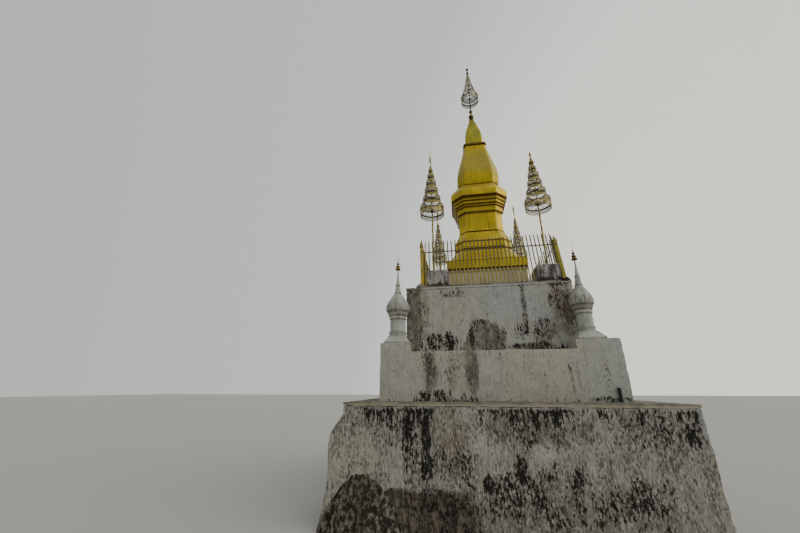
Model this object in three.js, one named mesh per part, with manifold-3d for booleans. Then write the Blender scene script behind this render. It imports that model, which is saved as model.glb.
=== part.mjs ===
// A hilltop stupa: three plastered masonry tiers, four small white corner stupas, a yellow iron fence,
// four openwork corner parasols and a gilded tower with a parasol on its tip.
// Millimetres, +Z up. The origin is on the axis of the gilded tower, at the lowest ground.
// The front of the stupa faces -Y.
import * as THREE from 'three';
import { mergeVertices } from 'three/addons/utils/BufferGeometryUtils.js';
import Module from 'manifold-3d';

const wasm = await Module();
wasm.setup();

// Driving dimensions
const SEAM = 0.3;

const BASE = { left: -4650, right: 4230, depth: 4750, top: 2960 };
const COPING = { rise: 90, proud: 12 };
const APRON = { foot: 550, waist: 360, shoulder: 390, waistRise: 960, shoulderRise: 2120, topRise: 2730 };
const RUBBLE = { centre: -4050, half: 1090, rise: 1365, narrowing: 0.32, pocket: 90, sunk: 45, foot: 380 };

const SECOND = { left: -3856, right: 3238, depth: 3750, top: 4507 };
const CORNER_BLOCK = { leftWidth: 886, rightWidth: 1209, rise: 280 };
const DRAIN = { radius: 45, length: 380, inset: 330 };

const THIRD = { left: -3118, right: 2478, depth: 2928, top: 6736 };
const CAP = { left: -3130, right: 2490, depth: 2940, top: 6816 };
const KERB = { rise: 50, outside: 60, inside: 45, batter: 15 };
const MOUND = { rise: 175, crown: 62, inward: 110, outward: 218 };

const FENCE = { left: -2543, right: 2312, depth: 2850, pitch: 140, bar: 34, railRise: 1329, tipRise: 1724 };
const RAIL = { height: 42, thickness: 12 };
const POST = { side: 112, rise: 1494, capRise: 215, capProud: 8 };

const PARASOL_BLOCK = { side: 770, leftX: -1982, rightX: 1853, rise: 650 };
const PARASOL = { leftX: -2130, rightX: 1962, y: 2350, poleRadius: 34, sides: 8 };

const SMALL = { leftX: -3356, rightX: 2545, y: 3345 };

// The gilded tower stands a little left of the middle, less so from its bulb upwards
const TOWER_SHIFT = -90;
const BULB_SHIFT = -30;
const TIP_SHIFT = -20;
const PLINTH = { half: 1520, top: 7935 };
const SHAFT = { flat: 955, half: 638, top: 10790, panel: 345, panelFoot: 9930, panelHead: 10700, sunk: 22 };

const PLASTER = { color: 0xa9aaa0, roughness: 0.92, metalness: 0 };
const WHITEWASH = { color: 0xc9ccca, roughness: 0.85, metalness: 0 };
const RUBBLE_STONE = { color: 0x4a483d, roughness: 0.98, metalness: 0 };
const GREY_STONE = { color: 0x6a6c6c, roughness: 0.95, metalness: 0 };
const YELLOW_PAINT = { color: 0xb08a1c, roughness: 0.5, metalness: 0.1 };
const GOLD_PAINT = { color: 0x8f7516, roughness: 0.42, metalness: 0.35 };
const GILT_BRONZE = { color: 0x8a6f3a, roughness: 0.4, metalness: 0.7 };
const PIPE = { color: 0x1c1c1a, roughness: 0.7, metalness: 0 };

const stupa = new THREE.Group();

function place(name, geometry, finish, x = 0, y = 0, z = 0) {
  const mesh = new THREE.Mesh(geometry, new THREE.MeshStandardMaterial(finish));
  mesh.name = name;
  mesh.position.set(x, y, z);
  stupa.add(mesh);
  return mesh;
}

// A closed solid through a stack of outlines that all have the same number of corners,
// each outline a list of [x, y] turning anticlockwise seen from above, at its own height.
function loft(levels) {
  const corners = levels[0].outline.length;
  const position = [];
  const index = [];
  for (const { outline, z } of levels) {
    for (const [x, y] of outline) {
      position.push(x, y, z);
    }
  }
  for (let level = 0; level + 1 < levels.length; level++) {
    for (let i = 0; i < corners; i++) {
      const a = level * corners + i;
      const b = level * corners + (i + 1) % corners;
      index.push(a, b, b + corners, a, b + corners, a + corners);
    }
  }
  const top = (levels.length - 1) * corners;
  for (let i = 1; i + 1 < corners; i++) {
    index.push(0, i + 1, i);
    index.push(top, top + i, top + i + 1);
  }
  const geometry = new THREE.BufferGeometry();
  geometry.setAttribute('position', new THREE.Float32BufferAttribute(position, 3));
  geometry.setIndex(index);
  return geometry;
}

function rectangle(left, right, depth) {
  return [[left, -depth], [right, -depth], [right, depth], [left, depth]];
}

// A square with cut corners: flat is the distance of the wide faces, half their half width.
function cutSquare(flat, half) {
  return [[-half, -flat], [half, -flat], [flat, -half], [flat, half],
    [half, flat], [-half, flat], [-flat, half], [-flat, -half]];
}

function squareStack(rows) {
  return loft(rows.map(([half, z]) => ({ outline: rectangle(-half, half, half), z })));
}

function cutSquareStack(rows) {
  return loft(rows.map(([flat, half, z]) => ({ outline: cutSquare(flat, half), z })));
}

// A round piece turned about the vertical axis, from rows of [radius, height].
function turned(rows, sides) {
  const profile = rows.map(([radius, z]) => new THREE.Vector2(radius, z));
  const closed = [new THREE.Vector2(0, rows[0][1]), ...profile, new THREE.Vector2(0, rows.at(-1)[1])];
  return new THREE.LatheGeometry(closed, sides).rotateX(Math.PI / 2);
}

function block(left, right, front, back, bottom, top) {
  const box = new THREE.BoxGeometry(right - left, back - front, top - bottom);
  return box.translate((left + right) / 2, (front + back) / 2, (bottom + top) / 2);
}

// Joining closed meshes into one solid
function toSolid(geometry) {
  const bare = geometry.clone();
  bare.deleteAttribute('normal');
  bare.deleteAttribute('uv');
  const merged = mergeVertices(bare, 0.001);
  const triangles = [];
  const source = merged.index.array;
  for (let i = 0; i < source.length; i += 3) {
    const [a, b, c] = [source[i], source[i + 1], source[i + 2]];
    if (a !== b && b !== c && c !== a) {
      triangles.push(a, b, c);
    }
  }
  const mesh = new wasm.Mesh({
    numProp: 3,
    vertProperties: new Float32Array(merged.attributes.position.array),
    triVerts: new Uint32Array(triangles),
  });
  return new wasm.Manifold(mesh);
}

function asGeometry(solid) {
  const mesh = solid.getMesh();
  const geometry = new THREE.BufferGeometry();
  geometry.setAttribute('position', new THREE.Float32BufferAttribute(mesh.vertProperties, 3));
  geometry.setIndex([...mesh.triVerts]);
  return geometry;
}

function fuse(geometries) {
  let whole = toSolid(geometries[0]);
  for (const geometry of geometries.slice(1)) {
    whole = whole.add(toSolid(geometry));
  }
  return asGeometry(whole);
}

// The arch of the front wall where the plaster is gone, seen from the front as [x, height]
function rubbleArch(grow) {
  const steps = 10;
  const arch = [];
  for (let i = 0; i <= steps; i++) {
    const angle = Math.PI * i / steps;
    const spread = 1 - RUBBLE.narrowing * Math.sin(angle);
    const x = RUBBLE.centre + (RUBBLE.half * spread + grow) * Math.cos(angle);
    arch.push([x, (RUBBLE.rise + grow) * Math.sin(angle)]);
  }
  return arch;
}

// A solid with the arch as its section, from one distance in front of the wall to another
function archSolid(back, backDepth, face, faceDepth) {
  const solid = loft([{ outline: back, z: backDepth }, { outline: face, z: faceDepth }]);
  return solid.rotateX(Math.PI / 2).translate(0, -BASE.depth, 0);
}

function subtract(geometry, cutter) {
  return asGeometry(toSolid(geometry).subtract(toSolid(cutter)));
}

// The shallow arched pocket where the plaster has fallen, cut from the wall and from the apron beside it
function withPocket(geometry) {
  const open = rubbleArch(SEAM);
  const arch = [[open[0][0], -10], ...open, [open.at(-1)[0], -10]];
  return subtract(geometry, archSolid(arch, -RUBBLE.pocket, arch, 10));
}

// Base tier: one mass of plastered rubble masonry with a thin coping, standing on the ground
place('base_tier', withPocket(loft([
  { outline: rectangle(BASE.left, BASE.right, BASE.depth), z: 0 },
  { outline: rectangle(BASE.left, BASE.right, BASE.depth), z: BASE.top },
])), PLASTER);

place('base_coping', loft([
  { outline: rectangle(BASE.left - COPING.proud, BASE.right + COPING.proud, BASE.depth + COPING.proud),
    z: BASE.top + SEAM },
  { outline: rectangle(BASE.left - COPING.proud, BASE.right + COPING.proud, BASE.depth + COPING.proud),
    z: BASE.top + COPING.rise },
]), PLASTER);

// Sloping apron wall that thickens the left side of the base tier
function apronGeometry() {
  const wall = BASE.left - SEAM;
  const profile = new THREE.Shape([
    new THREE.Vector2(wall, 0),
    new THREE.Vector2(wall, APRON.topRise),
    new THREE.Vector2(BASE.left - APRON.shoulder, APRON.shoulderRise),
    new THREE.Vector2(BASE.left - APRON.waist, APRON.waistRise),
    new THREE.Vector2(BASE.left - APRON.foot, 0),
  ]);
  const solid = new THREE.ExtrudeGeometry(profile, { depth: 2 * BASE.depth, bevelEnabled: false });
  return solid.rotateX(Math.PI / 2).translate(0, BASE.depth, 0);
}
place('side_apron', withPocket(apronGeometry()), PLASTER);

// The rubble core in the pocket: behind the wall face at the top of the arch, bulging out at its foot
function rubbleGeometry() {
  const arch = rubbleArch(0);
  const core = archSolid(arch, -RUBBLE.pocket + SEAM, arch, -RUBBLE.sunk);
  const low = arch.map(([x, rise]) => [RUBBLE.centre + (x - RUBBLE.centre) * 0.98, rise * 0.8]);
  const toe = arch.map(([x, rise]) => [RUBBLE.centre + (x - RUBBLE.centre) * 0.8, rise * 0.3]);
  return fuse([core, archSolid(low, -RUBBLE.sunk - 20, toe, RUBBLE.foot)]);
}
place('rubble_patch', rubbleGeometry(), RUBBLE_STONE);

// Second tier with a raised block at each corner
const deck = BASE.top + COPING.rise;
place('second_tier', loft([
  { outline: rectangle(SECOND.left, SECOND.right, SECOND.depth), z: deck + SEAM },
  { outline: rectangle(SECOND.left, SECOND.right, SECOND.depth), z: SECOND.top },
]), PLASTER);

// Short drain pipe leaning against the foot of the second tier
const drainPipe = turned([[DRAIN.radius, 0], [DRAIN.radius, DRAIN.length]], 8);
place('drain_pipe', drainPipe, PIPE,
  SECOND.right - DRAIN.inset, -SECOND.depth - DRAIN.radius - SEAM, deck + SEAM);

const blockDepth = SECOND.depth - THIRD.depth - SEAM;
for (const [end, sign] of [['front', -1], ['back', 1]]) {
  const near = sign * SECOND.depth;
  const far = sign * (SECOND.depth - blockDepth);
  const [front, back] = [Math.min(near, far), Math.max(near, far)];
  const foot = SECOND.top + SEAM;
  const head = SECOND.top + CORNER_BLOCK.rise;
  place(`corner_block_${end}_left`,
    block(SECOND.left, SECOND.left + CORNER_BLOCK.leftWidth, front, back, foot, head), PLASTER);
  place(`corner_block_${end}_right`,
    block(SECOND.right - CORNER_BLOCK.rightWidth, SECOND.right, front, back, foot, head), PLASTER);
}

// Small white stupa: square foot, eight-sided neck, round bell and spire
const smallFoot = SECOND.top + CORNER_BLOCK.rise + SEAM;
const SMALL_NECK = [[395, 380, 0], [395, 380, 60], [375, 360, 75], [288, 190, 225], [288, 190, 262],
  [262, 110, 275], [262, 110, 330], [284, 118, 345], [284, 118, 385], [248, 103, 400], [248, 103, 800],
  [278, 115, 820], [278, 115, 890]];
const SMALL_BELL = [[290, 880], [345, 1020], [383, 1160], [383, 1220], [333, 1375], [250, 1500],
  [165, 1640], [118, 1730], [78, 2030], [44, 2290], [22, 2590]];
const SMALL_FINIAL = [[20, 2590 + SEAM], [86, 2602], [86, 2650], [24, 2690], [62, 2708], [62, 2752],
  [20, 2786], [43, 2812], [43, 2848], [12, 2880], [6, 3160]];
function raised(rows, z) {
  return rows.map(([size, height]) => [size, height + z]);
}
for (const [end, sign] of [['front', -1], ['back', 1]]) {
  for (const [side, x] of [['left', SMALL.leftX], ['right', SMALL.rightX]]) {
    const body = fuse([cutSquareStack(SMALL_NECK), turned(SMALL_BELL, 12)]);
    place(`small_stupa_${end}_${side}`, body, WHITEWASH, x, sign * SMALL.y, smallFoot);
    place(`small_finial_${end}_${side}`, turned(SMALL_FINIAL, 8), GILT_BRONZE,
      x, sign * SMALL.y, smallFoot);
  }
}

// Third tier with its thin cap and the kerb that carries the fence
place('third_tier', loft([
  { outline: rectangle(THIRD.left, THIRD.right, THIRD.depth), z: SECOND.top + SEAM },
  { outline: rectangle(THIRD.left, THIRD.right, THIRD.depth), z: THIRD.top },
]), PLASTER);

place('third_tier_cap', loft([
  { outline: rectangle(CAP.left, CAP.right, CAP.depth), z: THIRD.top + SEAM },
  { outline: rectangle(CAP.left, CAP.right, CAP.depth), z: CAP.top },
]), PLASTER);

const kerbTop = CAP.top + KERB.rise;
function kerbRing() {
  const reach = (grow) => rectangle(FENCE.left - grow, FENCE.right + grow, FENCE.depth + grow);
  const inside = reach(-KERB.inside);
  const kerb = loft([
    { outline: reach(KERB.outside + KERB.batter), z: CAP.top + SEAM },
    { outline: reach(KERB.outside), z: kerbTop },
  ]);
  const opening = loft([{ outline: inside, z: CAP.top - 100 }, { outline: inside, z: kerbTop + 100 }]);
  return subtract(kerb, opening);
}

// Mortar mound that holds the foot of one corner post: side and end are +1 or -1, pointing outwards
function moundGeometry(side, end) {
  const x = side > 0 ? FENCE.right : FENCE.left;
  const y = end * FENCE.depth;
  const span = (centre, sign, outward, inward) =>
    [centre - (sign > 0 ? inward : outward), centre + (sign > 0 ? outward : inward)];
  const level = (outX, outY, inward, z) => {
    const [left, right] = span(x, side, outX, inward);
    const [front, back] = span(y, end, outY, inward);
    return { outline: [[left, front], [right, front], [right, back], [left, back]], z };
  };
  const outY = KERB.outside + KERB.batter;
  const outX = side > 0 ? CAP.right - FENCE.right : MOUND.outward;
  return loft([
    level(outX, outY, MOUND.inward, CAP.top + SEAM),
    level(MOUND.crown, MOUND.crown, MOUND.crown, CAP.top + MOUND.rise),
  ]);
}

const mounds = [[-1, -1], [1, -1], [1, 1], [-1, 1]].map(([side, end]) => moundGeometry(side, end));
place('kerb', fuse([kerbRing(), ...mounds]), GREY_STONE);

// Fence: pointed bars through one rail, with a capped post at the left end of each panel
function barGeometry(x, rise) {
  const section = (size) => [[x, -size], [x + size, size * 0.7], [x - size, size * 0.7]];
  return loft([
    { outline: section(FENCE.bar / 2), z: 0 },
    { outline: section(FENCE.bar / 2), z: rise - 200 },
    { outline: section(1.5), z: rise },
  ]);
}

function postGeometry(x) {
  const square = (size) => [[x - size, -size], [x + size, -size], [x + size, size], [x - size, size]];
  return loft([
    { outline: square(POST.side / 2), z: MOUND.rise - KERB.rise },
    { outline: square(POST.side / 2), z: POST.rise },
    { outline: square(POST.side / 2 + POST.capProud), z: POST.rise + 2 },
    { outline: square(POST.side / 2 + POST.capProud), z: POST.rise + 25 },
    { outline: square(6), z: POST.rise + POST.capRise },
  ]);
}

function panelGeometry(length) {
  const bays = Math.round(length / FENCE.pitch);
  const pitch = length / bays;
  const start = -length / 2;
  const half = RAIL.thickness / 2;
  const rail = block(start, -start - POST.side / 2 - SEAM, -half, half,
    FENCE.railRise - RAIL.height / 2, FENCE.railRise + RAIL.height / 2);
  const pieces = [rail, postGeometry(start)];
  for (let i = 1; i < bays; i++) {
    pieces.push(barGeometry(start + i * pitch, FENCE.tipRise));
  }
  return fuse(pieces);
}
const fenceMiddle = (FENCE.left + FENCE.right) / 2;
const fenceWidth = FENCE.right - FENCE.left;
const fenceFoot = kerbTop + SEAM;
const PANELS = [
  ['fence_front', fenceWidth, fenceMiddle, -FENCE.depth, 0],
  ['fence_right', 2 * FENCE.depth, FENCE.right, 0, 1],
  ['fence_back', fenceWidth, fenceMiddle, FENCE.depth, 2],
  ['fence_left', 2 * FENCE.depth, FENCE.left, 0, 3],
];
for (const [name, length, x, y, quarterTurns] of PANELS) {
  const panel = place(name, panelGeometry(length), YELLOW_PAINT, x, y, fenceFoot);
  panel.rotation.z = quarterTurns * Math.PI / 2;
}

// Parasols: a pole through shrinking openwork tiers, each a ring under a dome of thin ribs.
// A tier is [radius, height of its ring, height of its dome, ribs].
const CANOPY = [[480, 10115, 420, 8], [358, 10550, 385, 6], [272, 10950, 375, 6], [207, 11340, 345, 6]];
const TIP_CANOPY = [[454, 18190, 460, 8], [290, 18680, 300, 6]];
const FRINGE = { rise: 205, hoop: 14, stay: 12 };
const RING = { height: 40, thickness: 14 };
const RIB = { width: 22, thickness: 12, steps: 4 };

function ringGeometry(radius, z, height, thickness, sides) {
  const profile = [
    new THREE.Vector2(radius - thickness, z - height / 2),
    new THREE.Vector2(radius, z - height / 2),
    new THREE.Vector2(radius, z + height / 2),
    new THREE.Vector2(radius - thickness, z + height / 2),
    new THREE.Vector2(radius - thickness, z - height / 2),
  ];
  return new THREE.LatheGeometry(profile, sides).rotateX(Math.PI / 2);
}

// One arch of two ribs across a tier, cut from flat bar
function archGeometry(radius, height, z, angle) {
  const curve = (reach, rise) => {
    const points = [];
    for (let i = -RIB.steps; i <= RIB.steps; i++) {
      const turn = Math.PI / 2 * (1 - Math.abs(i) / RIB.steps);
      const across = Math.sign(i) * reach * Math.cos(turn) ** 0.75;
      points.push(new THREE.Vector2(across, rise * Math.sin(turn) ** 0.85));
    }
    return points;
  };
  const outer = curve(radius, height);
  const inner = curve(radius - RIB.width, height - RIB.width).reverse();
  const bar = new THREE.ExtrudeGeometry(new THREE.Shape([...outer, ...inner]),
    { depth: RIB.thickness, bevelEnabled: false });
  return bar.translate(0, 0, -RIB.thickness / 2).rotateX(Math.PI / 2).rotateZ(angle).translate(0, 0, z);
}

function tierGeometry([radius, z, height, ribs], sides) {
  const inset = radius * Math.cos(Math.PI / sides);
  const pieces = [ringGeometry(radius, z, RING.height, RING.thickness, sides)];
  for (let i = 0; i < ribs / 2; i++) {
    pieces.push(archGeometry(inset - 1, height, z, 2 * Math.PI * (i + 0.5) / ribs));
  }
  return pieces;
}

// Hoop under the lowest ring, hung from it by short stays
function fringeGeometry(radius, z, sides) {
  const inset = radius * Math.cos(Math.PI / sides);
  const pieces = [ringGeometry(radius - 2, z - FRINGE.rise, FRINGE.hoop, RING.thickness, sides)];
  for (let i = 0; i < sides; i++) {
    const stay = new THREE.BoxGeometry(FRINGE.stay, 8, FRINGE.rise);
    stay.translate(0, -inset + RING.thickness / 2, z - FRINGE.rise / 2);
    pieces.push(stay.rotateZ(2 * Math.PI * (i + 0.5) / sides));
  }
  return pieces;
}

function cornerParasol(footZ, tipZ, lift) {
  const raise = (rows) => rows.map(([radius, z]) => [radius, z + lift]);
  const pole = turned([[PARASOL.poleRadius, footZ],
    ...raise([[24, 11665], [142, 11680], [142, 11718], [60, 11880], [24, 11900], [92, 11972], [92, 12008],
      [44, 12120], [20, 12135], [50, 12215], [50, 12245], [14, 12320]]), [6, tipZ]], 8);
  const pieces = [pole];
  for (const [radius, z, height, ribs] of CANOPY) {
    pieces.push(...tierGeometry([radius, z + lift, height, ribs], PARASOL.sides));
  }
  pieces.push(...fringeGeometry(CANOPY[0][0], CANOPY[0][1] + lift, PARASOL.sides));
  return fuse(pieces);
}

const parasolFoot = CAP.top + PARASOL_BLOCK.rise;
const FULL_SPIKE = 13150;
const BROKEN_SPIKE = 12600;
const HIGH_CANOPY = 80;
const LOW_CANOPY = -15;
for (const [end, sign] of [['front', -1], ['back', 1]]) {
  for (const [side, blockX, x] of [['left', PARASOL_BLOCK.leftX, PARASOL.leftX],
    ['right', PARASOL_BLOCK.rightX, PARASOL.rightX]]) {
    const half = PARASOL_BLOCK.side / 2;
    place(`parasol_block_${end}_${side}`,
      block(blockX - half, blockX + half, -half, half, CAP.top + SEAM, parasolFoot), GREY_STONE,
      0, sign * PARASOL.y, 0);
    const tip = end === 'front' && side === 'right' ? BROKEN_SPIKE : FULL_SPIKE;
    const lift = side === 'left' ? HIGH_CANOPY : LOW_CANOPY;
    place(`corner_parasol_${end}_${side}`, cornerParasol(parasolFoot + SEAM, tip, lift), GILT_BRONZE,
      x, sign * PARASOL.y, 0);
  }
}

// Gilded tower, from its white plinth to the balls on its tip
function towerPiece(name, geometry, finish) {
  place(name, geometry, finish, TOWER_SHIFT, 0, 0);
}

towerPiece('tower_plinth', squareStack([[PLINTH.half, CAP.top + SEAM], [PLINTH.half, 7770], [1550, 7790],
  [1550, 7840], [1480, 7850], [1480, PLINTH.top]]), WHITEWASH);
towerPiece('tower_base_band', squareStack([[1575, PLINTH.top + SEAM], [1575, 8300]]), GOLD_PAINT);
towerPiece('lower_skirt', cutSquareStack([[1500, 1130, 8300 + SEAM], [1500, 1130, 8360], [1400, 1040, 8500],
  [1240, 890, 8760], [1150, 790, 8970]]), GOLD_PAINT);
towerPiece('tower_step', cutSquareStack([[1180, 800, 8970 + SEAM], [1180, 800, 9340]]), GOLD_PAINT);
towerPiece('upper_skirt', cutSquareStack([[1160, 780, 9340 + SEAM], [1130, 765, 9420], [1060, 735, 9520],
  [1050, 725, 9600], [985, 690, 9700], [975, 680, 9790]]), GOLD_PAINT);

// Shaft with a shallow sunk panel between corner pilasters on each of its four wide faces
function shaftGeometry() {
  const body = cutSquareStack([[SHAFT.flat, SHAFT.half, 9790 + SEAM], [SHAFT.flat, SHAFT.half, SHAFT.top]]);
  let shaft = body;
  for (let i = 0; i < 4; i++) {
    const panel = block(-SHAFT.panel, SHAFT.panel, -SHAFT.flat - 10, -SHAFT.flat + SHAFT.sunk,
      SHAFT.panelFoot, SHAFT.panelHead);
    shaft = subtract(shaft, panel.rotateZ(i * Math.PI / 2));
  }
  return shaft;
}
towerPiece('shaft', shaftGeometry(), GOLD_PAINT);
towerPiece('shaft_cornice', cutSquareStack([[965, 650, 10790 + SEAM], [965, 650, 10870], [1000, 680, 10950],
  [1000, 680, 11020], [1040, 696, 11060], [1040, 696, 11140], [1075, 710, 11170], [1110, 722, 11270],
  [1110, 722, 11330], [1150, 730, 11390], [1150, 730, 11440]]), GOLD_PAINT);
towerPiece('crown', cutSquareStack([[1226, 742, 11440 + SEAM], [1240, 745, 11560], [1240, 745, 11810],
  [1140, 710, 11960], [1000, 660, 12120], [955, 646, 12190]]), GOLD_PAINT);

// The bulb draws back towards the axis of the tip as it rises
const BULB = [[905, 625, 12190], [925, 640, 12400], [932, 642, 12700], [922, 636, 12930], [892, 620, 13150],
  [835, 592, 13400], [755, 556, 13700], [665, 512, 14030], [590, 474, 14305], [500, 415, 14780]];
const BULB_STRAIGHT = 13150;
const LEAN = 30;
function bulbGeometry() {
  const levels = BULB.map(([flat, half, z]) => {
    const lean = Math.max(0, (BULB_STRAIGHT - z) / (BULB_STRAIGHT - BULB[0][2]));
    const outline = cutSquare(flat, half).map(([x, y]) => [x - LEAN * lean, y]);
    return { outline, z };
  });
  levels[0].z += SEAM;
  return loft(levels);
}
function topPiece(name, geometry) {
  place(name, geometry, GOLD_PAINT, BULB_SHIFT, 0, 0);
}
topPiece('lower_bulb', bulbGeometry());
topPiece('bulb_ring', cutSquareStack([[455, 385, 14780 + SEAM], [478, 405, 14800], [490, 412, 14830],
  [490, 412, 14880], [470, 400, 14920], [410, 356, 14940]]));
topPiece('upper_bud', cutSquareStack([[392, 342, 14940 + SEAM], [398, 348, 15100], [400, 350, 15480],
  [388, 340, 15750], [350, 306, 15950], [298, 260, 16100], [236, 206, 16270], [178, 155, 16450],
  [120, 104, 16700]]));
topPiece('tower_balls', turned([[95, 16700 + SEAM], [130, 16740], [75, 16800], [105, 16860], [132, 16940],
  [105, 17040], [48, 17120], [45, 17210], [95, 17300], [40, 17380], [34, 17470]], 12));

// Parasol on the tip: two wide tiers, a dense cone of small ones and a leaf-shaped finial
function tipParasol() {
  const sides = 10;
  const pole = turned([[30, 17470 + SEAM], [26, 17560], [46, 17590], [24, 17640], [22, 18950], [200, 18970],
    [200, 19000], [110, 19130], [155, 19180], [155, 19205], [90, 19330], [122, 19380], [122, 19402],
    [70, 19500], [95, 19550], [95, 19570], [50, 19650], [72, 19700], [72, 19718], [30, 19800],
    [18, 19930], [60, 20030], [22, 20180], [48, 20270], [6, 20470]], 8);
  const pieces = [pole];
  for (const tier of TIP_CANOPY) {
    pieces.push(...tierGeometry(tier, sides));
  }
  const [rimRadius, rimZ] = TIP_CANOPY[0];
  pieces.push(...fringeGeometry(rimRadius, rimZ, sides));
  for (let i = 0; i < 4; i++) {
    const spoke = new THREE.BoxGeometry(2 * (rimRadius - RING.thickness), 12, 12);
    pieces.push(spoke.rotateZ(Math.PI * i / 4).translate(0, 0, rimZ));
  }
  return fuse(pieces);
}
place('tip_parasol', tipParasol(), GILT_BRONZE, TIP_SHIFT, 0, 0);

export default stupa;
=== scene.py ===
import random
from math import atan2, cos, pi, radians, sin, sqrt

import bmesh
import bpy
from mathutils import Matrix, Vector


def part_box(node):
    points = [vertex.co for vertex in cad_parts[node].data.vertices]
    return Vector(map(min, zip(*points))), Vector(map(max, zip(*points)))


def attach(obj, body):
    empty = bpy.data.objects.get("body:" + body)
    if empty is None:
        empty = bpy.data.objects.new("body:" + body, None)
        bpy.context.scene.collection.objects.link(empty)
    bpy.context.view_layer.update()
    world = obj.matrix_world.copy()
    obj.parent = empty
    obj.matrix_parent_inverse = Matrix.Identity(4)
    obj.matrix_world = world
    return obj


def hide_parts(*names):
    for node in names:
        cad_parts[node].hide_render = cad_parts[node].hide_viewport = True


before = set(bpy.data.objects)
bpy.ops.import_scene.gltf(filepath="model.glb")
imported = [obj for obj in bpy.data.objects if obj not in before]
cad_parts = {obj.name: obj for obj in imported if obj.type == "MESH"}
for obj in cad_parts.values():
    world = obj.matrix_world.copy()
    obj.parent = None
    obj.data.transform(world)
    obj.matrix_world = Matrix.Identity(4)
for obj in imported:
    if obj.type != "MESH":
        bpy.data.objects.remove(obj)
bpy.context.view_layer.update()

# The view, the light and the floor.
# A wide lens looks up at the front from a little left of the middle. The light is a pale overcast sky that is
# brighter towards the right and the front, with a wide soft sun there, over a plain pale floor.
camera = bpy.data.objects.new("camera", bpy.data.cameras.new("camera"))
camera.data.sensor_width = 36
camera.data.lens = 15.12
camera.location = (-1.357, -14.5, 3.4)
camera.rotation_euler = (radians(110), 0, radians(9.8))
bpy.context.collection.objects.link(camera)
bpy.context.scene.camera = camera

sky = bpy.data.worlds.new("sky")
sky.use_nodes = True
direction = sky.node_tree.nodes.new("ShaderNodeTexCoord")
turn = sky.node_tree.nodes.new("ShaderNodeMapping")
turn.inputs["Location"].default_value = (0.5, 0, 0)
turn.inputs["Rotation"].default_value = (0, 0, radians(-40))
turn.inputs["Scale"].default_value = (0.5, 0.5, 0.5)
across = sky.node_tree.nodes.new("ShaderNodeTexGradient")
tint = sky.node_tree.nodes.new("ShaderNodeValToRGB")
tint.color_ramp.elements[0].color = (0.4, 0.41, 0.41, 1)
tint.color_ramp.elements[1].color = (1.15, 1.1, 0.98, 1)
for place, colour in [(0.3, (0.6, 0.6, 0.57, 1)), (0.5, (0.64, 0.66, 0.65, 1)), (0.69, (0.67, 0.71, 0.7, 1)),
                      (0.835, (1.02, 1.02, 0.95, 1))]:
    tint.color_ramp.elements.new(place).color = colour
cloud = sky.node_tree.nodes["Background"]
for source, target in [(direction.outputs["Generated"], turn.inputs[0]), (turn.outputs[0], across.inputs[0]),
                       (across.outputs["Fac"], tint.inputs[0]), (tint.outputs[0], cloud.inputs[0])]:
    sky.node_tree.links.new(source, target)
bpy.context.scene.world = sky

soft_sun = bpy.data.objects.new("soft_sun", bpy.data.lights.new("soft_sun", "SUN"))
soft_sun.data.energy = 1.1
soft_sun.data.angle = radians(60)
soft_sun.data.color = (1.0, 0.96, 0.88)
soft_sun.rotation_euler = (radians(52), 0, radians(68))
bpy.context.collection.objects.link(soft_sun)

bpy.ops.object.select_all(action="DESELECT")
bpy.ops.mesh.primitive_plane_add(size=400)
floor = bpy.context.object
floor.name = "floor"
floor_paint = bpy.data.materials.new("floor_paint")
floor_paint.use_nodes = True
floor_paint.node_tree.nodes["Principled BSDF"].inputs["Base Color"].default_value = (0.4, 0.395, 0.375, 1)
floor_paint.node_tree.nodes["Principled BSDF"].inputs["Roughness"].default_value = 0.95
floor.data.materials.append(floor_paint)


# The base tier and the sloping apron on its left, one skin of limewashed plaster over rubble masonry.
# The skin is laid by hand, so it waves and its edges are chipped; mould hangs in black drips under the top
# and creeps up from the foot, and at the left of the front the plaster has fallen off in an arch.
class Reading:
    """A value read off the surface. Sums on it become Math nodes."""

    def __init__(self, finish, socket):
        self.finish = finish
        self.socket = socket

    def __add__(self, other):
        return self.finish.maths("ADD", self, other)

    def __radd__(self, other):
        return self.finish.maths("ADD", other, self)

    def __sub__(self, other):
        return self.finish.maths("SUBTRACT", self, other)

    def __rsub__(self, other):
        return self.finish.maths("SUBTRACT", other, self)

    def __mul__(self, other):
        return self.finish.maths("MULTIPLY", self, other)

    def __rmul__(self, other):
        return self.finish.maths("MULTIPLY", other, self)

    def __truediv__(self, other):
        return self.finish.maths("DIVIDE", self, other)

    def __abs__(self):
        return self.finish.maths("ABSOLUTE", self)

    def most(self, other):
        return self.finish.maths("MAXIMUM", self, other)


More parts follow.
